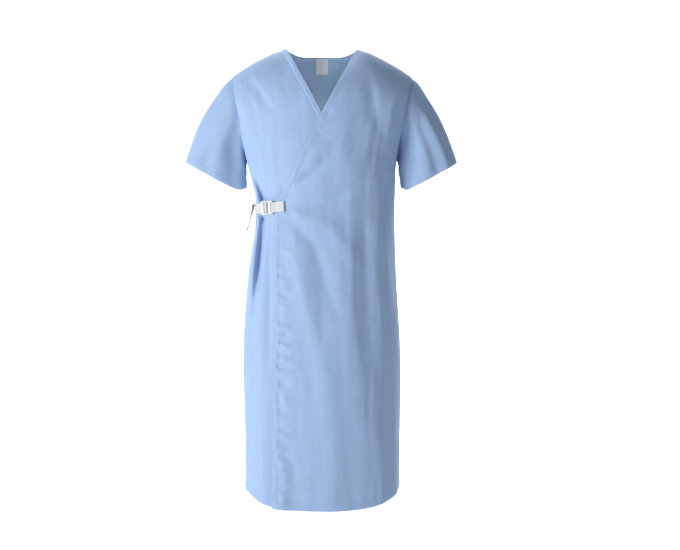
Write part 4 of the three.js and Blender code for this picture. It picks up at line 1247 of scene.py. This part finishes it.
def stitching_tree(thread):
    """Stitches along every line of a mesh: short rounded lengths of thread, one after another."""
    tree = bpy.data.node_groups.new("lockstitch", "GeometryNodeTree")
    tree.interface.new_socket("Seam Lines", in_out="INPUT", socket_type="NodeSocketGeometry")
    for name, value in (("Stitch Pitch", 0.0032), ("Stitch Length", 0.0024), ("Thread Radius", 0.00024)):
        socket = tree.interface.new_socket(name, in_out="INPUT", socket_type="NodeSocketFloat")
        socket.default_value = value
    tree.interface.new_socket("Stitches", in_out="OUTPUT", socket_type="NodeSocketGeometry")
    add, link = tree.nodes.new, tree.links.new
    source, sink = add("NodeGroupInput"), add("NodeGroupOutput")
    curve, points = add("GeometryNodeMeshToCurve"), add("GeometryNodeCurveToPoints")
    points.mode = "LENGTH"
    link(source.outputs["Seam Lines"], curve.inputs["Mesh"])
    link(curve.outputs["Curve"], points.inputs["Curve"])
    link(source.outputs["Stitch Pitch"], points.inputs["Length"])
    stitch, size = add("GeometryNodeMeshUVSphere"), add("ShaderNodeCombineXYZ")
    stitch.inputs["Segments"].default_value = 6
    stitch.inputs["Rings"].default_value = 4
    stitch.inputs["Radius"].default_value = 1.0
    half = add("ShaderNodeMath")
    half.operation = "MULTIPLY"
    half.inputs[1].default_value = 0.5
    link(source.outputs["Stitch Length"], half.inputs[0])
    link(source.outputs["Thread Radius"], size.inputs["X"])
    link(source.outputs["Thread Radius"], size.inputs["Y"])
    link(half.outputs[0], size.inputs["Z"])
    instances = add("GeometryNodeInstanceOnPoints")
    link(points.outputs["Points"], instances.inputs["Points"])
    link(stitch.outputs["Mesh"], instances.inputs["Instance"])
    link(points.outputs["Rotation"], instances.inputs["Rotation"])
    link(size.outputs["Vector"], instances.inputs["Scale"])
    realize, paint = add("GeometryNodeRealizeInstances"), add("GeometryNodeSetMaterial")
    paint.inputs["Material"].default_value = thread
    link(instances.outputs["Instances"], realize.inputs["Geometry"])
    link(realize.outputs["Geometry"], paint.inputs["Geometry"])
    link(paint.outputs["Geometry"], sink.inputs["Stitches"])
    return tree


stitching_trees = {thread.name: stitching_tree(thread) for thread in (blue_thread, white_thread)}


def stitched(name, lines, thread=blue_thread, pitch=0.0032, length=0.0024, radius=0.00024):
    """A mesh of stitches along lines of points."""
    starts = np.cumsum([0] + [len(line) for line in lines])
    edges = [(i, i + 1) for a, b in zip(starts[:-1], starts[1:]) for i in range(a, b - 1)]
    guide_mesh = bpy.data.meshes.new(name + "_guide")
    guide_mesh.from_pydata(np.concatenate(lines).tolist(), edges, [])
    guide = bpy.data.objects.new(name + "_guide", guide_mesh)
    bpy.context.scene.collection.objects.link(guide)
    modifier = guide.modifiers.new("stitching", "NODES")
    modifier.node_group = stitching_trees[thread.name]
    sizes = {"Stitch Pitch": pitch, "Stitch Length": length, "Thread Radius": radius}
    for item in modifier.node_group.interface.items_tree:
        if item.in_out == "INPUT" and item.name in sizes:
            modifier[item.identifier] = sizes[item.name]
    evaluated = guide.evaluated_get(bpy.context.evaluated_depsgraph_get())
    mesh = bpy.data.meshes.new_from_object(evaluated)
    mesh.name = name
    mesh.materials.clear()
    mesh.materials.append(thread)
    mesh.shade_smooth()
    bpy.data.objects.remove(guide)
    bpy.data.meshes.remove(guide_mesh)
    piece = bpy.data.objects.new(name, mesh)
    bpy.context.scene.collection.objects.link(piece)
    return piece


THREAD_LIFT = 0.0001
STITCH_COLUMN, SECOND_COLUMN = 7, 11
SHOULDER_ROW, NECK_ROW = 4, 6
NECK_COLUMNS = slice(8, -8)
hem_row = len(CAP_ROWS) + len(LONG_ROWS) + STITCH_STEP
waist_row = int(np.argmin(np.abs(ROWS - waist_drop)))
armhole_rows = ROWS < drop_to(ARMPIT) - 2
left_cloth, right_cloth = (left_surface, left_normals), (right_surface, right_normals)
back_cloth = (back_surface, back_normals)


def sewn(cloth_and_normals, *place):
    """A row or a column of a cloth's surface, raised to where its thread lies."""
    surface, normals = cloth_and_normals
    return surface[place] + normals[place] * THREAD_LIFT


ALL = slice(None)
left_lines = [
    sewn(left_cloth, ALL, STITCH_COLUMN),
    sewn(left_cloth, slice(waist_row - 4), SECOND_COLUMN),
    sewn(left_cloth, hem_row),
]
left_stitches = stitched("left_front_stitches", left_lines)
blend_skirt(left_stitches)

gown_lines = [
    sewn(right_cloth, ALL, STITCH_COLUMN),
    sewn(right_cloth, hem_row),
    sewn(back_cloth, hem_row),
    sewn(back_cloth, NECK_ROW, NECK_COLUMNS),
    sewn(right_cloth, SHOULDER_ROW),
    sewn(left_cloth, SHOULDER_ROW),
]
# The armholes' stitching is on a column near the seam, past the fine ones.
for panel, column in ((right_cloth, -5), (left_cloth, -5), (back_cloth, 5), (back_cloth, -6)):
    gown_lines.append(sewn(panel, armhole_rows, column))
gown_stitches = stitched("gown_stitches", gown_lines)
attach(gown_stitches, "gown")

for side_name, hand in (("right", -1), ("left", 1)):
    cuff_stitches = stitched(f"{side_name}_cuff_stitches", [cuff_lines[side_name]])
    blend_sleeve(cuff_stitches)

WHITE_STITCH = {"thread": white_thread, "pitch": 0.0026, "length": 0.0020}
label_line = label_points[1, 1:-1] - np.array([0, THREAD_LIFT, 0])
label_stitches = stitched("label_stitches", [label_line], **WHITE_STITCH)
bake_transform(label_stitches)

# The tab's two ends are held by a box of stitches, sewn through them both and the front.
tab_run = np.gradient(tab_middle, axis=0)
tab_out = np.cross(lock_across, tab_run)
tab_out *= (np.sign(tab_out @ lock_out) / np.linalg.norm(tab_out, axis=1))[:, None]
tab_face = tab_middle + tab_out * (HALF + THREAD_LIFT)
TAB_BOX = slice(3, 14)  # the points of the tab's middle line that the box runs along
BOX_INSET = 0.002
tab_side = lock_across * (WEBBING / 2 - BOX_INSET)
near_side, far_side = tab_face[TAB_BOX] + tab_side, tab_face[TAB_BOX][::-1] - tab_side
stitch_box = np.concatenate([near_side, far_side, near_side[:1]])
tab_stitches = stitched("tab_stitches", [stitch_box], **WHITE_STITCH)
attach(tab_stitches, "gown")
